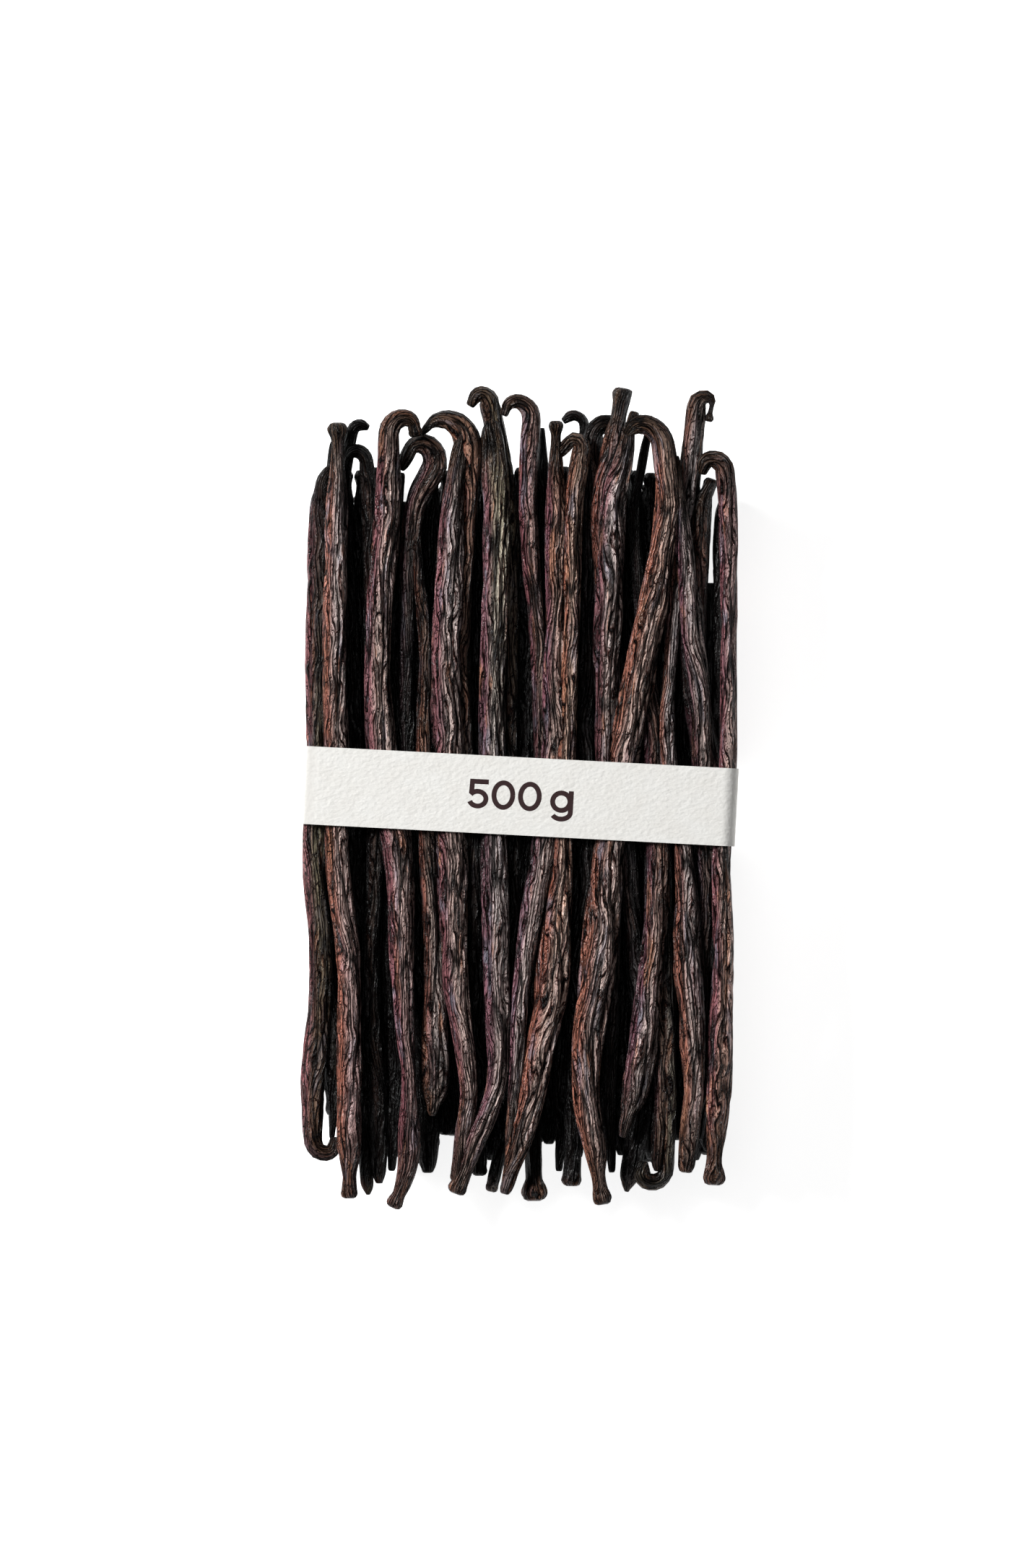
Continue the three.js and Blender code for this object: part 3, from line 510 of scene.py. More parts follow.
def pod_colours(skin, names):
    """Linear colours of a pod, with painted shade making one flank redder and darker, and how pale the
    skin of its ends is, up to 1.
    """
    stops = np.array([linear(TONES[name]) for name in names])
    places = np.linspace(0, 1, len(stops))
    front = np.stack([np.interp(skin["progress"], places, stops[:, k]) for k in range(3)], axis=1)
    # Painted shade: one flank of each pod is tinted redder and darker.
    shaded_flank = np.array(linear(SHADED_FLANK_TONES[skin["seed"] % len(SHADED_FLANK_TONES)]))
    share = SHADED_FLANK_SHARE * smooth_step((skin["shaded_flank"] + 0.1) / 0.75)[:, None]
    colour = front + (shaded_flank - front) * share
    from_stalk = skin["progress"] * skin["length"]
    from_foot = skin["length"] - from_stalk
    ripe_foot = FOOT_RIPE + (1 - FOOT_RIPE) * smooth_step(from_foot / FOOT_REACH)
    ripe = np.minimum(smooth_step(from_stalk / STALK_REACH), ripe_foot)
    stalk = np.array(linear(STALK_TONE))
    return stalk + (colour - stalk) * ripe[:, None], STALK_PALE + (1 - STALK_PALE) * ripe


HEAP_SIDE = 50.0  # half the heap's width and length, a little beyond its pods
HEAP_END = 90.0
# Painted shade by depth: the deeper skin lies inside the bundle, the darker it is painted, down to
# black.
UNSHADED_DEPTH = 1.4  # down to this depth, no painted shade
BLACK_DEPTH = 6.0


def depth_shade_factor(points):
    """Painted shade by depth: 1 on the outside of the bundle, falling to 0, painted black, deep inside
    it.
    """
    x, y, z = points.T
    inside = np.minimum.reduce([BUNDLE_DEPTH - z, z + 1.5, HEAP_SIDE - np.abs(x), HEAP_END - np.abs(y)])
    return 1 - smooth_step((inside - UNSHADED_DEPTH) / (BLACK_DEPTH - UNSHADED_DEPTH))


def make_mesh(name, vertices, quads, fans=None):
    """A smooth mesh object from arrays in millimetres."""
    fans = np.zeros((0, 3), int) if fans is None else fans
    mesh = bpy.data.meshes.new(name)
    mesh.vertices.add(len(vertices))
    mesh.vertices.foreach_set("co", (vertices * MM).astype(np.float32).ravel())
    mesh.loops.add(quads.size + fans.size)
    mesh.loops.foreach_set("vertex_index", np.r_[quads.ravel(), fans.ravel()].astype(np.int32))
    mesh.polygons.add(len(quads) + len(fans))
    starts = np.r_[np.arange(len(quads)) * 4, quads.size + np.arange(len(fans)) * 3]
    mesh.polygons.foreach_set("loop_start", starts.astype(np.int32))
    mesh.update(calc_edges=True)
    mesh.polygons.foreach_set("use_smooth", np.ones(len(mesh.polygons), bool))
    mesh.validate()
    piece = bpy.data.objects.new(name, mesh)
    bpy.context.scene.collection.objects.link(piece)
    return piece


def point_values(piece, name, kind, values):
    """Stores values on the points of a piece, for its material to read."""
    layer = piece.data.attributes.new(name, kind, "POINT")
    field = {"FLOAT": "value", "FLOAT_VECTOR": "vector", "FLOAT_COLOR": "color"}[kind]
    layer.data.foreach_set(field, np.asarray(values, np.float32).ravel())


POD_VALUES = {"ridge": "FLOAT", "strand": "FLOAT", "worn": "FLOAT", "grain": "FLOAT_VECTOR",
              "tone": "FLOAT_COLOR"}


def join_pods(name, pods):
    """One piece from several pods, each with a strip of its own in the bake map."""
    base = 0
    parts = {key: [] for key in ("vertices", "quads", "fans", "strip", *POD_VALUES)}
    for slot, (skin, tones) in enumerate(pods):
        count = len(skin["vertices"])
        colour, pale = pod_colours(skin, tones)
        made = skin | {
            "quads": skin["quads"] + base,
            "fans": skin["fans"] + base,
            # painted shade by depth, times the darker ends
            "worn": depth_shade_factor(skin["vertices"]) * pale,
            "tone": np.c_[colour, np.ones(count)],
            "strip": np.c_[np.full(count, slot), skin["column"], skin["progress"]],
        }
        for key, rows in parts.items():
            rows.append(made[key])
        base += count
    joined = {key: np.concatenate(rows) for key, rows in parts.items()}
    piece = make_mesh(name, joined["vertices"], joined["quads"], joined["fans"])
    for key, kind in POD_VALUES.items():
        point_values(piece, key, kind, joined[key])
    bake_strips(piece, joined["strip"], len(pods))
    return piece


def bake_strips(piece, strip, count):
    """Lays the pods side by side in the map that colours are baked to."""
    mesh = piece.data
    corner = np.zeros(len(mesh.loops), np.int32)
    mesh.loops.foreach_get("vertex_index", corner)
    slot, column, progress = strip[corner].T
    starts = np.zeros(len(mesh.polygons), np.int32)
    mesh.polygons.foreach_get("loop_start", starts)
    face = np.searchsorted(starts, np.arange(len(corner)), side="right") - 1
    widest = np.zeros(len(starts))
    np.maximum.at(widest, face, column)
    wraps = (column == 0) & (widest[face] > 0.6)
    column = np.where(wraps, 1.0, column)
    margin = 0.04
    u = (slot + margin + (1 - 2 * margin) * column) / count
    v = 0.01 + 0.98 * progress
    layer = mesh.uv_layers.new(name="OFBake")
    layer.data.foreach_set("uv", np.stack([u, v], axis=1).astype(np.float32).ravel())


# ---- the pods ------------------------------------------------------------------

def pieces_of(name, pods, a_piece):
    """Joins pods, so many to a piece."""
    groups = [pods[first:first + a_piece] for first in range(0, len(pods), a_piece)]
    return [join_pods(f"{name}_{number}", group) for number, group in enumerate(groups, 1)]


def face_pieces():
    """The pods of the shown face, finest where they face the eye."""
    skins = []
    for number, pod in enumerate(FACE_PODS):
        line = centripetal(face_line(pod), 24)
        angles = section_angles(int(10 + 11 * max(pod[3])), 8, 112)
        skins.append((pod_skin(line, number + 1, angles), pod[6]))
    return pieces_of("face_pods", skins, 5)


def clear_of_slits(x, half, y):
    """Cuts an end short where it would close a slit."""
    for start, stop, begin in SLITS:
        if x + half > start and x - half < stop and (begin > 0) == (y > 0):
            y = min(y, begin - 2) if y > 0 else max(y, begin + 2)
    return y


def edge_x(side, y, w):
    """The middle of a pod at the side of the heap, hidden just inside the rail above it."""
    rail = FACE_PODS[0] if side < 0 else next(pod for pod in FACE_PODS if pod[0] == "rail_east")
    widths = [rail[3][i] for i in WIDTH_AT]
    outer = [x + side * wide / 2 for x, wide in zip(rail[2], widths)]
    drift = rail[5][0] - rail[2][5] if side > 0 else 0.0
    outer.append(outer[5] + drift)
    places = [-y for y in STATIONS] + [RAIL_END]
    return float(np.interp(-y, places, outer)) - side * (EDGE_INSET + w / 2)


def row_pieces():
    """The rows beneath the face: whole pods where they show, and the ends of the others."""
    whole, stubs = [], []
    for row, z in enumerate(ROW_HEIGHTS):
        for column in range(COLUMNS):
            shift = 0.0 if row % 2 == 0 else 0.5
            edge = column in (0, COLUMNS - 1)
            place = column / (COLUMNS - 1) if edge else min(1, (column + shift) / (COLUMNS - 1))
            home = -COLUMN_EDGE + 2 * COLUMN_EDGE * place
            w = EDGE_POD_WIDTH if edge else draw(*ROW_POD_WIDTH)
            stray = 0.0 if edge else draw(-ROW_WANDER, ROW_WANDER)
            lift = 0.0 if row == 0 else draw(-ROW_LIFT, ROW_LIFT)
            top = clear_of_slits(home + stray, w / 2, draw(*ROW_TOPS))
            foot = clear_of_slits(home - stray, w / 2, draw(*ROW_FEET))
            side = -1 if column == 0 else 1
            if edge:
                top = min(top, EDGE_TOPS[column > 0])
                foot = max(foot, EDGE_FEET[column > 0])
            number = 100 + row * COLUMNS + column
            tones = ROW_TONES[number % len(ROW_TONES)]
            flatness = EDGE_FLATNESS if edge else POD_FLATNESS
            bearer = row == 0 and column in BEARERS
            resting = 0.5 * flatness * w

            def at(y, width):
                straight = home + stray * y / STATIONS[0]
                x = edge_x(side, y, w) - side * SIDE_PINCH * float(pinch_at(y)) if edge else straight
                clear = 0.0 if bearer and abs(abs(y) - BEARING_Y) < 1 else FLOOR_CLEAR
                axis = resting + clear if row == 0 else z + lift
                return (x, y, axis, width)

            def tail(y, side):
                return [at(y - reach * side, share * w) for reach, share in ROW_END]

            if row == 0 or edge:
                angles = np.linspace(0, 2 * np.pi, 28, endpoint=False)
                held = [40] if edge else [BEARING_Y] if bearer else []
                run = [at(y, w) for y in (*held, 26, 11, -11, -26, *(-y for y in held))]
                line = centripetal(tail(top, 1)[::-1] + run + tail(foot, -1), 12)
                whole.append((pod_skin(line, number, angles, flatness, 1.6), tones))
                continue
            angles = np.linspace(0, 2 * np.pi, 18, endpoint=False)
            stalk = min(STUB_START, top - 8) - 6
            line = centripetal(tail(top, 1)[::-1] + [at(stalk, w)], 12)
            stubs.append((pod_skin(line, number, angles, flatness, 1.6), tones))
            line = centripetal([at(-STUB_START - 1, w)] + tail(foot, -1), 12)
            stubs.append((pod_skin(line, number + 60, angles, flatness, 1.6), tones))
    return pieces_of("under_pods", whole, 7) + pieces_of("inner_ends", stubs, 36)


def bed_piece():
    """The pods that show only in the gaps of the face, dark with painted shade for their depth."""
    skins = []
    for i in range(BED_PODS):
        x = -BED_EDGE + 2 * BED_EDGE * i / (BED_PODS - 1)
        w = BED_WIDTH + 0.5 * math.sin(1.7 * i + 1)
        low = BED_HEIGHT - 0.5 * w + 0.5 * math.sin(3.1 * i)
        top = clear_of_slits(x, 1.0, 74.4 + 0.9 * math.sin(5.3 * i))
        foot = clear_of_slits(x, 1.0, -80.5 - 1.8 * math.sin(4.1 * i))
        run = [(top - reach, share) for reach, share in BED_TOP] + [(20, 1), (-20, 1)]
        run += [(foot + reach, share) for reach, share in BED_FOOT]
        line = centripetal([(x, y, low, w * share) for y, share in run], 8)
        angles = section_angles(14, 5, 110)
        skins.append((pod_skin(line, 300 + i, angles, POD_FLATNESS, 1.8), ("umber", "umber", "umber")))
    return join_pods("bed_pods", skins)


def core_piece():
    """The middle of the heap, a block dark with painted shade, which nothing shows but the deepest
    gaps.
    """
    (x0, x1), (y0, y1), (z0, z1) = CORE
    across = np.array([x0, x1, x1, x0])
    up = np.array([z0, z0, z1, z1])
    stations = np.linspace(y0, y1, 24)
    rings = [np.stack([across * (1 - 0.06 * k), np.full(4, y), up], axis=1)
             for k, y in zip(np.abs(np.linspace(-1, 1, 24)) ** 6, stations)]
    vertices = np.vstack(rings)
    index = np.arange(len(vertices)).reshape(-1, 4)
    right = np.roll(index, -1, axis=1)
    quads = np.stack([index[:-1], right[:-1], right[1:], index[1:]], axis=-1).reshape(-1, 4)
    ends = np.array([index[0][::-1], index[-1]])
    return make_mesh("heap_core", vertices, np.vstack([quads, ends]))


# ---- the band ------------------------------------------------------------------

def band_loop(step):
    """Places (x, z) and outward directions round the loop, from the middle of the underside."""
    half = BAND_LENGTH / 2
    low, high = BAND_FLOOR_GAP, BAND_TOP
    corner = BAND_CORNER
    quarter = math.pi / 2
    centres = [(half - corner, low + corner, -quarter), (half - corner, high - corner, 0),
               (-half + corner, high - corner, quarter), (-half + corner, low + corner, 2 * quarter)]
    places, outward = [], []

    def straight(start, end, direction):
        count = max(2, round(math.dist(start, end) / step))
        for k in range(count):
            t = k / count
            places.append((start[0] + (end[0] - start[0]) * t, start[1] + (end[1] - start[1]) * t))
            outward.append(direction)

    last = (0.0, low)
    for x, z, angle in centres:
        direction = (math.cos(angle), math.sin(angle))
        first = (x + corner * direction[0], z + corner * direction[1])
        straight(last, first, direction)
        for k in range(10):
            turned = angle + quarter * k / 10
            places.append((x + corner * math.cos(turned), z + corner * math.sin(turned)))
            outward.append((math.cos(turned), math.sin(turned)))
        turned = angle + quarter
        last = (x + corner * math.cos(turned), z + corner * math.sin(turned))
    straight(last, (0.0, low), (0.0, -1.0))
    return np.array(places), np.array(outward)


FELT_LEAN = math.radians(28)


def paper_relief(points):
    """How far the cold-pressed face lies below its high spots, in mm."""
    x, y, z = points[..., 0], points[..., 1], points[..., 2]
    along = x * math.cos(FELT_LEAN) + y * math.sin(FELT_LEAN)
    over = -x * math.sin(FELT_LEAN) + y * math.cos(FELT_LEAN)
    felt = noise(np.stack([along / 2.6, over / 1.1, z / 1.6], axis=-1) + 40, 71)
    tooth = noise(np.stack([x / 0.8, y / 0.7, z / 0.8], axis=-1) + 90, 72)
    return 0.045 + 0.05 * felt + 0.02 * tooth


def tilted(points):
    """Points turned by the slant of the band."""
    c, s = math.cos(BAND_TILT), math.sin(BAND_TILT)
    turned = points.copy()
    turned[..., 0] = c * points[..., 0] - s * points[..., 1]
    turned[..., 1] = s * points[..., 0] + c * points[..., 1]
    return turned


def strip_mesh(name, places, outward, closed, thickness, across_steps=44):
    """A strip of paper of the band's width round a path, with a relief on its outer face."""
    y = np.linspace(-BAND_WIDTH / 2, BAND_WIDTH / 2, across_steps)
    points = np.zeros((len(places), across_steps, 3))
    points[..., 0] = places[:, None, 0]
    points[..., 1] = y[None, :]
    points[..., 2] = places[:, None, 1]
    out = np.zeros_like(points)
    out[..., 0] = outward[:, None, 0]
    out[..., 2] = outward[:, None, 1]
    face = points - out * np.maximum(0, paper_relief(points))[..., None]
    back = (points - out * thickness)[:, [0, -1]]
    grid = np.concatenate([face, back[:, ::-1]], axis=1)
    rows, columns = grid.shape[:2]
    index = np.arange(rows * columns).reshape(rows, columns)
    if closed:
        index = np.vstack([index, index[:1]])
    right = np.roll(index, -1, axis=1)
    quads = np.stack([index[:-1], right[:-1], right[1:], index[1:]], axis=-1).reshape(-1, 4)
    vertices = tilted(grid.reshape(-1, 3))
    # Painted shade: the paper is greyed where it turns round the upper left and lower right corners.
    fold = np.repeat(np.maximum(0, -2 * outward[:, 0] * outward[:, 1]), columns)
    if not closed:
        lids = np.array([[index[0, 0], index[0, -1], index[0, -2], index[0, -3]]])
        quads = np.vstack([quads, lids])
    piece = make_mesh(name, vertices, quads)
    piece.data.set_sharp_from_angle(angle=math.radians(50))
    point_values(piece, "fold", "FLOAT", fold)
    return piece


def band_pieces():
    """The paper loop, and the end that laps it under the bundle."""
    places, outward = band_loop(0.42)
    loop = strip_mesh("paper_band", places, outward, True, BAND_PAPER)
    x = np.linspace(-FLAP_LENGTH / 2, FLAP_LENGTH / 2, 60)
    low = BAND_FLOOR_GAP - FLAP_PAPER
    places = np.stack([x, np.full_like(x, low)], axis=1)
    outward = np.tile([0.0, -1.0], (len(x), 1))
    flap = strip_mesh("band_overlap", places, outward, False, FLAP_PAPER - 0.02, 24)
    return [loop, flap]


# ---- the weight mark ---------------------------------------------------------------

FIGURE_HEIGHT = 6.6
FIGURE_WIDTH = 5.3
FIVE_WIDTH = FIGURE_WIDTH - 0.45
LETTER_HEIGHT = 5.0
LETTER_WIDTH = 5.2
FIGURE_GAP = 0.65
WORD_GAP = 1.95
STROKE = 1.1
INK_LIFT = 0.02
INK_STEP = 0.002  # from stroke to stroke, so that no two lie in one plane


def ribbon(line, width):
    """A flat ribbon along a line of points, as a grid of rows of five points."""
    line = np.asarray(line, float)
    tangent = np.gradient(line, axis=0)
    tangent /= np.linalg.norm(tangent, axis=1)[:, None]
    normal = np.stack([-tangent[:, 1], tangent[:, 0]], axis=1)
    offsets = np.linspace(-0.5, 0.5, 5) * width
    return line[:, None, :] + normal[:, None, :] * offsets[None, :, None]


def arc(centre, half_wide, half_high, start, stop, count):
    """Points on an ellipse from one angle to another, in degrees."""
    angles = np.radians(np.linspace(start, stop, count))
    x = centre[0] + half_wide * np.cos(angles)
    y = centre[1] + half_high * np.sin(angles)
    return np.stack([x, y], axis=1)


def bar(start, stop):
    """Points on a straight line."""
    return np.linspace(start, stop, 12)


def weight_mark():
    """A plain weight mark: 500 g, in simple even strokes."""
    inner = STROKE / 2
    w, h = FIGURE_WIDTH, FIGURE_HEIGHT
    five_w = FIVE_WIDTH
    bowl = 0.33 * h
    five = [
        bar((0.55, h - inner), (five_w - 0.1, h - inner)),
        bar((0.55 + inner, h - 0.1), (0.42 + inner, 0.50 * h)),
        arc((five_w / 2 - 0.02, bowl + 0.02), five_w / 2 - inner, bowl - inner + 0.02, 148, -158, 60),
    ]
    zero = [arc((w / 2, h / 2), w / 2 - inner, h / 2 - inner, 0, 360, 80)]
    gw, gh = LETTER_WIDTH, LETTER_HEIGHT
    letter = [
        arc((gw / 2 - 0.1, gh / 2), gw / 2 - inner - 0.1, gh / 2 - inner, 0, 360, 70),
        bar((gw - inner, gh - 0.05), (gw - inner, 0.1)),
        arc((gw / 2 - 0.05, 0.15), gw / 2 - inner + 0.05, 1.55, 0, -150, 40),
    ]
    x = -(five_w + w + w + gw + 2 * FIGURE_GAP + WORD_GAP) / 2
    grids = []
    mark = ((five, five_w, FIGURE_GAP), (zero, w, FIGURE_GAP), (zero, w, WORD_GAP), (letter, gw, 0))
    for strokes, wide, after in mark:
        grids += [ribbon(stroke, STROKE) + [x, -0.52 * h + 0.2] for stroke in strokes]
        x += wide + after

    vertices, quads, base = [], [], 0
    for layer, grid in enumerate(grids):
        rows, columns = grid.shape[:2]
        flat = np.c_[grid.reshape(-1, 2), np.full(rows * columns, BAND_TOP)]
        flat[:, 2] += INK_LIFT + INK_STEP * layer - np.maximum(0, paper_relief(flat))
        vertices.append(flat)
        index = np.arange(rows * columns).reshape(rows, columns) + base
        left, right = index[:, :-1], index[:, 1:]
        quads.append(np.stack([left[:-1], left[1:], right[1:], right[:-1]], axis=-1).reshape(-1, 4))
        base += rows * columns
    vertices = np.vstack(vertices)
    quads = [q if faces_up(vertices, q) else q[:, ::-1] for q in quads]
    return make_mesh("weight_mark", tilted(vertices), np.vstack(quads))


def faces_up(vertices, quads):
    a, b, c = vertices[quads[:, 0]], vertices[quads[:, 1]], vertices[quads[:, 2]]
    return np.cross(b - a, c - a)[:, 2].sum() > 0


# ---- materials -----------------------------------------------------------------

BLEND = {"data_type": "RGBA"}
TINT = {"data_type": "RGBA", "blend_type": "MULTIPLY"}
TIMES = {"operation": "MULTIPLY"}
TIMES_PLUS = {"operation": "MULTIPLY_ADD"}


def new_material(name):
    material = bpy.data.materials.new(name)
    material.use_nodes = True
    material.node_tree.nodes.clear()
    return material


def add(material, kind, settings=None, **links):
    """Adds a shader node with its settings, and links or sets its inputs by name or number.

    A node given as an input stands for its first output in use, and a hex text for its colour.
    The setting "stops" holds a ramp's places, each with a hex colour or a grey.
    """
    tree = material.node_tree
    node = tree.nodes.new("ShaderNode" + kind)
    for key, value in (settings or {}).items():
        if key != "stops":
            setattr(node, key, value)
            continue
        stops = node.color_ramp.elements
        while len(stops) < len(value):
            stops.new(0.5)
        for stop, (place, colour) in zip(stops, value):
            stop.position = place
            stop.color = (*(linear(colour) if isinstance(colour, str) else (colour,) * 3), 1)
    for key, value in links.items():
        socket = node.inputs[int(key[1:])] if key[0] == "_" else node.inputs[key.replace("_", " ")]
        if isinstance(value, bpy.types.Node):
            value = next(output for output in value.outputs if output.enabled)
        if isinstance(value, bpy.types.NodeSocket):
            tree.links.new(value, socket)
        else:
            socket.default_value = (*linear(value), 1) if isinstance(value, str) else value
    return node


def drawn_out(size, stretch, shift=0.0):
    """A mapping to units of one size across a pod, and of stretch times that size along it."""
    return {"Scale": (1 / size, 1 / size, 1 / (size * stretch)), "Location": (shift, shift, shift)}


SKIN_VALUES = {"grain": "Vector", "tone": "Color", "ridge": "Fac", "strand": "Fac", "worn": "Fac"}
SWAY = 0.55  # how far, in mm, the patterns are pushed about so that no line stays straight
SWAY_PATTERN = (1.8, 3.0, 5.0)
CRACK_SLANT = 0.45  # the small cracks run a little across the pod
CRACK_PATTERN = (0.6, 5.5, 9.0)
THREADS_A_STRAND = 2.7
OWN_LENGTH = 7.0  # over which the paleness of a strand changes
OWN_STEP = 3.17  # sets the paleness of one strand apart from the next

# What each pattern is laid on, its size across a pod in mm, how many times longer it is along the
# pod, a shift that keeps it apart from the others, its detail and its roughness.
SKIN_PATTERNS = {
    "wiggle": ("grain", 0.6, 4.0, 13.0, 2.0, 0.5),
    "fibres": ("sway", 0.34, 14.0, 3.0, 2.0, 0.5),  # finer in life, drawn as coarse as shows
    "mottle": ("sway", 0.9, 2.2, 21.0, 4.0, 0.65),
    "merge": ("sway", 1.5, 5.0, 41.0, 2.0, 0.5),
    "hue": ("sway", 2.2, 8.0, 53.0, 3.0, 0.5),
    "soot": ("sway", 2.2, 7.0, 77.0, 3.0, 0.5),
    "pits": ("sway", 0.4, 1.5, 91.0, 2.0, 0.5),
}

# Values worked out from the patterns, by the places of a ramp.
SKIN_CURVES = {
    # crest and valley are painted shade: dark in the deep folds and between the strands, where the
    # cracks are dark too
    "crest": ("ridge", [(0.0, 0.15), (0.6, 1.0)]),  # dark in the deep folds
    "valley": ("ridges", [(0.0, 0.0), (0.14, 0.08), (0.4, 0.7), (0.7, 1.0)]),
    "swell": ("ridges", [(0.0, 0.0), (0.25, 0.55), (0.6, 0.9), (1.0, 1.0)]),
    "valley_gone": ("merge", [(0.5, 0.0), (0.68, 0.8)]),  # where strands grow together
    "swell_gone": ("merge", [(0.5, 0.0), (0.68, 0.7)]),
    "thread": ("threads", [(0.0, 0.22), (0.4, 1.0)]),
    "bark": ("cracks", [(0.01, 0.0), (0.08, 1.0)]),
    "bark_here": ("mottle", [(0.5, 0.0), (0.6, 0.7)]),
}

# Colours laid over the tone of a pod in turn: the value that places each, by the places of a ramp.
SKIN_LAYERS = [
    ("hue", [(0.32, 0.85), (0.4, 0.0)], "#C48A6E"),  # copper
    ("hue", [(0.58, 0.0), (0.68, 0.5)], "#94727A"),  # plum
    ("light", [(1.02, 0.0), (1.18, 0.55)], "#F2ECE8"),  # the palest, most worn fibres
    ("light", [(0.8, 0.84), (0.96, 0.4), (1.06, 0.0)], "#000000"),  # the darkest
    ("mottle", [(0.3, 0.6), (0.42, 0.0)], "#2A1513"),  # spots of dried juice
    ("soot", [(0.28, 0.35), (0.38, 0.0)], "#34191A"),
    ("soot", [(0.58, 0.0), (0.68, 0.3)], "#C8C6DA"),  # painted sheen: cool grey-blue patches, as the shine of the oil
]
FLANK_SHADE_STOPS = [(0.3, 1.0), (0.95, 0.0)]
FLANK_SHADE_TINT = "#AA5A48"  # painted shade: the lower flanks of the strands, darker red-brown
# the black of the cracks and of the painted shade
SHADE_AND_CRACK_BLACK = "#030101"


def cured_pod_skin():
    """Vanilla pods, blanched, sweated and sun-dried: a tough skin, black-brown with oil.

    The skin has dried into strands along the pod, about 1 mm wide. Their crests are grey,
    tan, plum and copper under a thin oily sheen, with a painted sheen in cool patches and painted
    shade reddening their flanks. The cracks between them are nearly black, and painted shade
    darkens the folds, the valleys and the skin deep in the bundle to black as well.
    """
    material = new_material("cured_vanilla_pod_skin")
    value = {}
    for name, output in SKIN_VALUES.items():
        value[name] = add(material, "Attribute", {"attribute_name": name}).outputs[output]

    place = add(material, "Mapping", Vector=value["grain"], **drawn_out(*SWAY_PATTERN))
    push = add(material, "TexNoise", Vector=place, Scale=1.0, Detail=2.0).outputs["Color"]
    push = add(material, "VectorMath", {"operation": "SUBTRACT"}, _0=push, _1=(0.5, 0.5, 0.5))
    push = add(material, "VectorMath", {"operation": "SCALE"}, _0=push, Scale=2 * SWAY)
    value["sway"] = add(material, "VectorMath", {"operation": "ADD"}, _0=value["grain"], _1=push)
    for name, (base, size, stretch, shift, detail, rough) in SKIN_PATTERNS.items():
        place = add(material, "Mapping", Vector=value[base], **drawn_out(size, stretch, shift))
        value[name] = add(material, "TexNoise", Vector=place, Scale=1.0, Detail=detail, Roughness=rough)
    place = add(material, "Mapping", Vector=value["sway"], Rotation=(CRACK_SLANT, 0.0, 0.0))
    place = add(material, "Mapping", Vector=place, **drawn_out(*CRACK_PATTERN))
    cells = {"feature": "DISTANCE_TO_EDGE"}
    value["cracks"] = add(material, "TexVoronoi", cells, Vector=place, Scale=1.0)

    strand = add(material, "Math", TIMES_PLUS, _0=value["wiggle"], _1=0.7, _2=value["strand"])
    turn = add(material, "Math", TIMES, _0=strand, _1=math.pi)
    stray = add(material, "Math", TIMES, _0=value["fibres"], _1=5.0)
    thread_turn = add(material, "Math", TIMES_PLUS, _0=strand, _1=THREADS_A_STRAND * math.pi, _2=stray)
    for name, angle in (("ridges", turn), ("threads", thread_turn)):
        sine = add(material, "Math", {"operation": "SINE"}, _0=angle)
        value[name] = add(material, "Math", {"operation": "ABSOLUTE"}, _0=sine)
    number = add(material, "Math", {"operation": "FLOOR"}, _0=strand)
    number = add(material, "Math", TIMES, _0=number, _1=OWN_STEP)
    along = add(material, "SeparateXYZ", Vector=value["grain"]).outputs["Z"]
    along = add(material, "Math", TIMES, _0=along, _1=1 / OWN_LENGTH)
    place = add(material, "CombineXYZ", X=number, Y=along)
    own = add(material, "TexNoise", Vector=place, Scale=1.0, Detail=2.0)
    value["light"] = add(material, "Math", {"operation": "ADD"}, _0=value["fibres"], _1=own)

    for name, (source, stops) in SKIN_CURVES.items():
        value[name] = add(material, "ValToRGB", {"stops": stops}, _0=value[source])
    valley = add(material, "Mix", BLEND, _0=value["valley_gone"], _6=value["valley"], _7="#FFFFFF")
    swell = add(material, "Mix", BLEND, _0=value["swell_gone"], _6=value["swell"], _7="#FFFFFF")
    bark = add(material, "Mix", BLEND, _0=value["bark_here"], _6="#FFFFFF", _7=value["bark"])
    height = add(material, "Math", TIMES, _0=valley, _1=bark)
    # Painted shade: how much colour shows, falling in folds, valleys, cracks and deep inside the
    # bundle.
    shown = height
    worn = add(material, "Math", TIMES_PLUS, _0=value["worn"], _1=0.97, _2=0.03)
    for part in (value["crest"], value["thread"], worn):
        shown = add(material, "Math", TIMES, _0=shown, _1=part)
    shown = add(material, "Math", {"operation": "POWER"}, _0=shown, _1=1.85)

    colour = value["tone"]
    for source, stops, layer in SKIN_LAYERS:
        share = add(material, "ValToRGB", {"stops": stops}, _0=value[source])
        colour = add(material, "Mix", BLEND, _0=share, _6=colour, _7=layer)
    # Painted shade: the lower flanks of the strands are tinted darker red-brown.
    share = add(material, "ValToRGB", {"stops": FLANK_SHADE_STOPS}, _0=height)
    colour = add(material, "Mix", TINT, _0=share, _6=colour, _7=FLANK_SHADE_TINT)
    # Painted shade and dark cracks: where little shows, the colour turns nearly black.
    skin = add(material, "Mix", BLEND, _0=shown, _6=SHADE_AND_CRACK_BLACK, _7=colour)

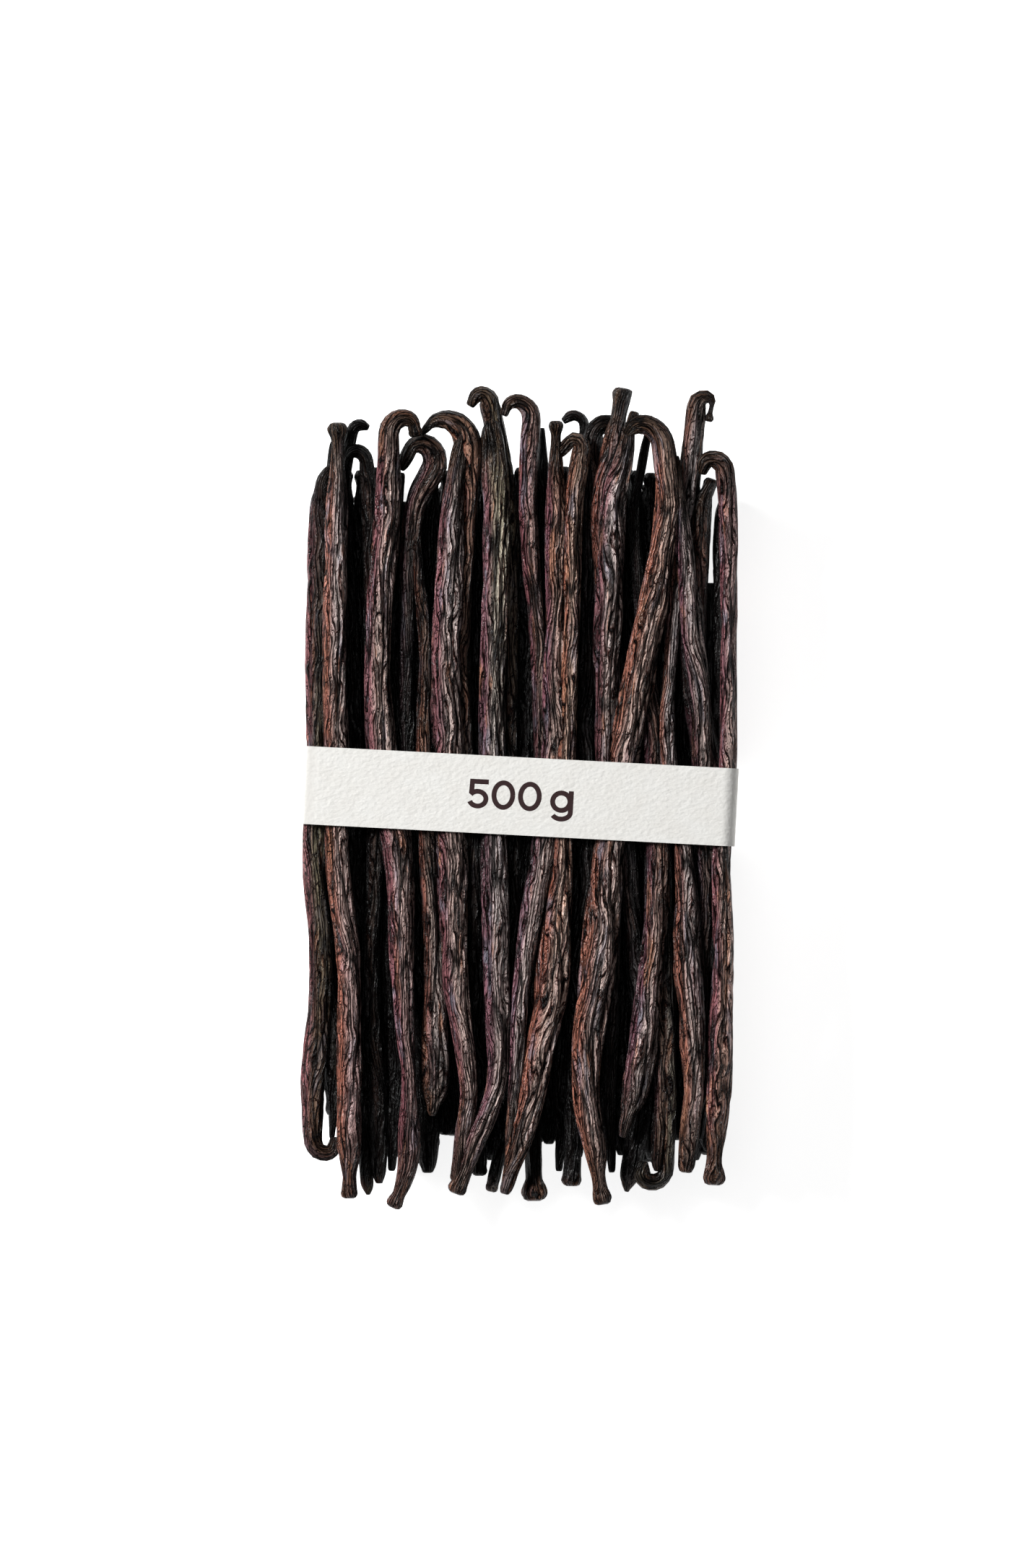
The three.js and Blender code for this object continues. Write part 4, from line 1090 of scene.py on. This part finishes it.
    lift = add(material, "Math", TIMES, _0=swell, _1=bark)
    lift = add(material, "Math", TIMES_PLUS, _0=value["thread"], _1=0.35, _2=lift)
    lift = add(material, "Math", TIMES_PLUS, _0=value["fibres"], _1=0.4, _2=lift)
    relief = add(material, "Bump", Strength=1.0, Distance=0.6 * MM, Height=lift)
    relief = add(material, "Bump", Strength=0.5, Distance=0.3 * MM, Height=value["pits"], Normal=relief)
    gloss = add(material, "ValToRGB", {"stops": [(0.0, 0.36), (1.0, 0.24)]}, _0=shown)
    shader = add(material, "BsdfPrincipled", Base_Color=skin, Roughness=gloss, Normal=relief, IOR=1.47,
                 Specular_IOR_Level=0.26)
    add(material, "OutputMaterial", Surface=shader)
    return material


def heap_shade():
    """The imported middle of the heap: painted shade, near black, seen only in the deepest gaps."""
    material = new_material("painted_shade_heap_core")
    place = add(material, "TexCoord").outputs["Object"]
    place = add(material, "Mapping", Vector=place, **drawn_out(1.2 * MM, 12))
    grain = add(material, "TexNoise", Vector=place, Scale=1.0, Detail=2.0)
    skin = add(material, "ValToRGB", {"stops": [(0.35, SHADE_AND_CRACK_BLACK), (0.7, "#0B0605")]}, _0=grain)
    bump = add(material, "Bump", Strength=0.8, Distance=1.0 * MM, Height=grain)
    shader = add(material, "BsdfPrincipled", Base_Color=skin, Roughness=0.6, Normal=bump)
    add(material, "OutputMaterial", Surface=shader)
    return material


FIBRE_SIZE = 0.25 * MM
CLOUD_SIZE = 5.0 * MM
DENT_SIZE = (1.1 * MM, 0.75 * MM, 1.0 * MM)  # the weave of the felt, which leans


def cotton_paper():
    """Heavy cotton paper, cold-pressed between felts: warm white, matte, softly dented."""
    material = new_material("cold_pressed_cotton_paper")
    place = add(material, "TexCoord").outputs["Object"]
    fibre = add(material, "TexNoise", Vector=place, Scale=1 / FIBRE_SIZE, Detail=3.0)
    cloud = add(material, "TexNoise", Vector=place, Scale=1 / CLOUD_SIZE, Detail=2.0)
    lean = add(material, "Mapping", Vector=place, Rotation=(0, 0, -FELT_LEAN),
               Scale=[1 / size for size in DENT_SIZE])
    dents = add(material, "TexNoise", Vector=lean, Scale=1.0, Detail=1.0)
    shade = add(material, "ValToRGB", {"stops": [(0.3, "#ECEAE5"), (0.7, "#F0EFEB")]}, _0=cloud)
    # Painted shade on the band's turned corners, upper left and lower right, greying the paper.
    fold = add(material, "Attribute", {"attribute_name": "fold"}).outputs["Fac"]
    fold = add(material, "Math", TIMES, _0=fold, _1=0.85)
    shade = add(material, "Mix", BLEND, _0=fold, _6=shade, _7="#B6B4B0")
    tooth = add(material, "Bump", Strength=0.4, Distance=0.06 * MM, Height=fibre)
    bump = add(material, "Bump", Strength=1.0, Distance=0.13 * MM, Height=dents, Normal=tooth)
    shader = add(material, "BsdfPrincipled", Base_Color=shade, Roughness=0.92, Normal=bump)
    add(material, "OutputMaterial", Surface=shader)
    return material


def printing_ink():
    """Offset ink on uncoated paper: dark red-brown, sunk in, with no shine."""
    material = new_material("matte_offset_ink")
    place = add(material, "TexCoord").outputs["Object"]
    speck = add(material, "TexNoise", Vector=place, Scale=1 / (0.3 * MM), Detail=2.0)
    shade = add(material, "ValToRGB", {"stops": [(0.3, "#2A1214"), (0.75, "#331A1C")]}, _0=speck)
    shader = add(material, "BsdfPrincipled", Base_Color=shade, Roughness=0.85)
    add(material, "OutputMaterial", Surface=shader)
    return material


FLOOR_GLOW = 0.86  # a light table: the floor is lit a little from beneath


def floor_paint():
    """White acrylic of a light table, with a faint unevenness."""
    material = new_material("pale_studio_floor")
    place = add(material, "TexCoord").outputs["Object"]
    cloud = add(material, "TexNoise", Vector=place, Scale=3.0, Detail=2.0)
    shade = add(material, "ValToRGB", {"stops": [(0.3, "#F5F5F5"), (0.7, "#F8F8F8")]}, _0=cloud)
    shader = add(material, "BsdfPrincipled", Base_Color=shade, Roughness=0.8, Emission_Color="#FFFFFF",
                 Emission_Strength=FLOOR_GLOW)
    add(material, "OutputMaterial", Surface=shader)
    return material


# ---- stage, lights and camera ------------------------------------------------------

PICTURE = (1432, 2172)
MM_PER_PIXEL = 0.162
BUNDLE_PIXEL = (720.5, 1103.0)  # where the bundle's origin falls in the picture
LENS = 250.0
SENSOR = 36.0
FLOOR_REACH = 3.0  # in metres
WORLD_GLOW = 0.05


def make_stage():
    """A floor that runs out of the picture on every side."""
    corners = [(-1, -1, 0), (1, -1, 0), (1, 1, 0), (-1, 1, 0)]
    floor = make_mesh("floor", np.array(corners) * FLOOR_REACH / MM, np.array([[0, 1, 2, 3]]))
    floor.data.materials.append(floor_paint())


def soft_light(name, place, size, power):
    """A square soft box that faces the bundle. Place and size are in metres, power in watts."""
    data = bpy.data.lights.new(name, "AREA")
    data.shape = "SQUARE"
    data.size = size
    data.energy = power
    lamp = bpy.data.objects.new(name, data)
    lamp.location = place
    lamp.rotation_euler = (-Vector(place)).to_track_quat("-Z", "Y").to_euler()
    bpy.context.scene.collection.objects.link(lamp)


def make_lights():
    """A soft box from the upper left, a fainter one overhead, and an even glow."""
    soft_light("key_box", place=(-1.15, 0.6, 1.1), size=0.4, power=37)
    soft_light("top_box", place=(-0.3, 0.2, 2.0), size=0.9, power=4)
    world = bpy.data.worlds.new("studio")
    world.use_nodes = True
    glow = world.node_tree.nodes["Background"]
    glow.inputs["Color"].default_value = (1, 1, 1, 1)
    glow.inputs["Strength"].default_value = WORLD_GLOW
    bpy.context.scene.world = world


def make_camera():
    """Straight above the bundle, with +Y up the picture, from far off through a long lens."""
    data = bpy.data.cameras.new("camera")
    data.lens = LENS
    data.sensor_width = SENSOR
    data.clip_end = 20
    tall = PICTURE[1] * MM_PER_PIXEL
    distance = tall * LENS / SENSOR + BAND_TOP
    x = (PICTURE[0] / 2 - BUNDLE_PIXEL[0]) * MM_PER_PIXEL
    y = (BUNDLE_PIXEL[1] - PICTURE[1] / 2) * MM_PER_PIXEL
    camera = bpy.data.objects.new("camera", data)
    camera.location = (x * MM, y * MM, distance * MM)
    bpy.context.scene.collection.objects.link(camera)
    bpy.context.scene.camera = camera


# ---- assembly ------------------------------------------------------------------

def dress(pieces, material, node):
    """Gives pieces their material and makes them stand for a node of the frame."""
    for piece in pieces:
        piece.data.materials.append(material)
        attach(piece, "root")
        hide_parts(node)


make_camera()
make_lights()
make_stage()
dress(face_pieces() + row_pieces() + [bed_piece()], cured_pod_skin(), "pods")
dress([core_piece()], heap_shade(), "pods")
dress(band_pieces(), cotton_paper(), "band")
dress([weight_mark()], printing_ink(), "band")

bpy.context.scene.view_settings.view_transform = "Standard"

bpy.context.view_layer.update()
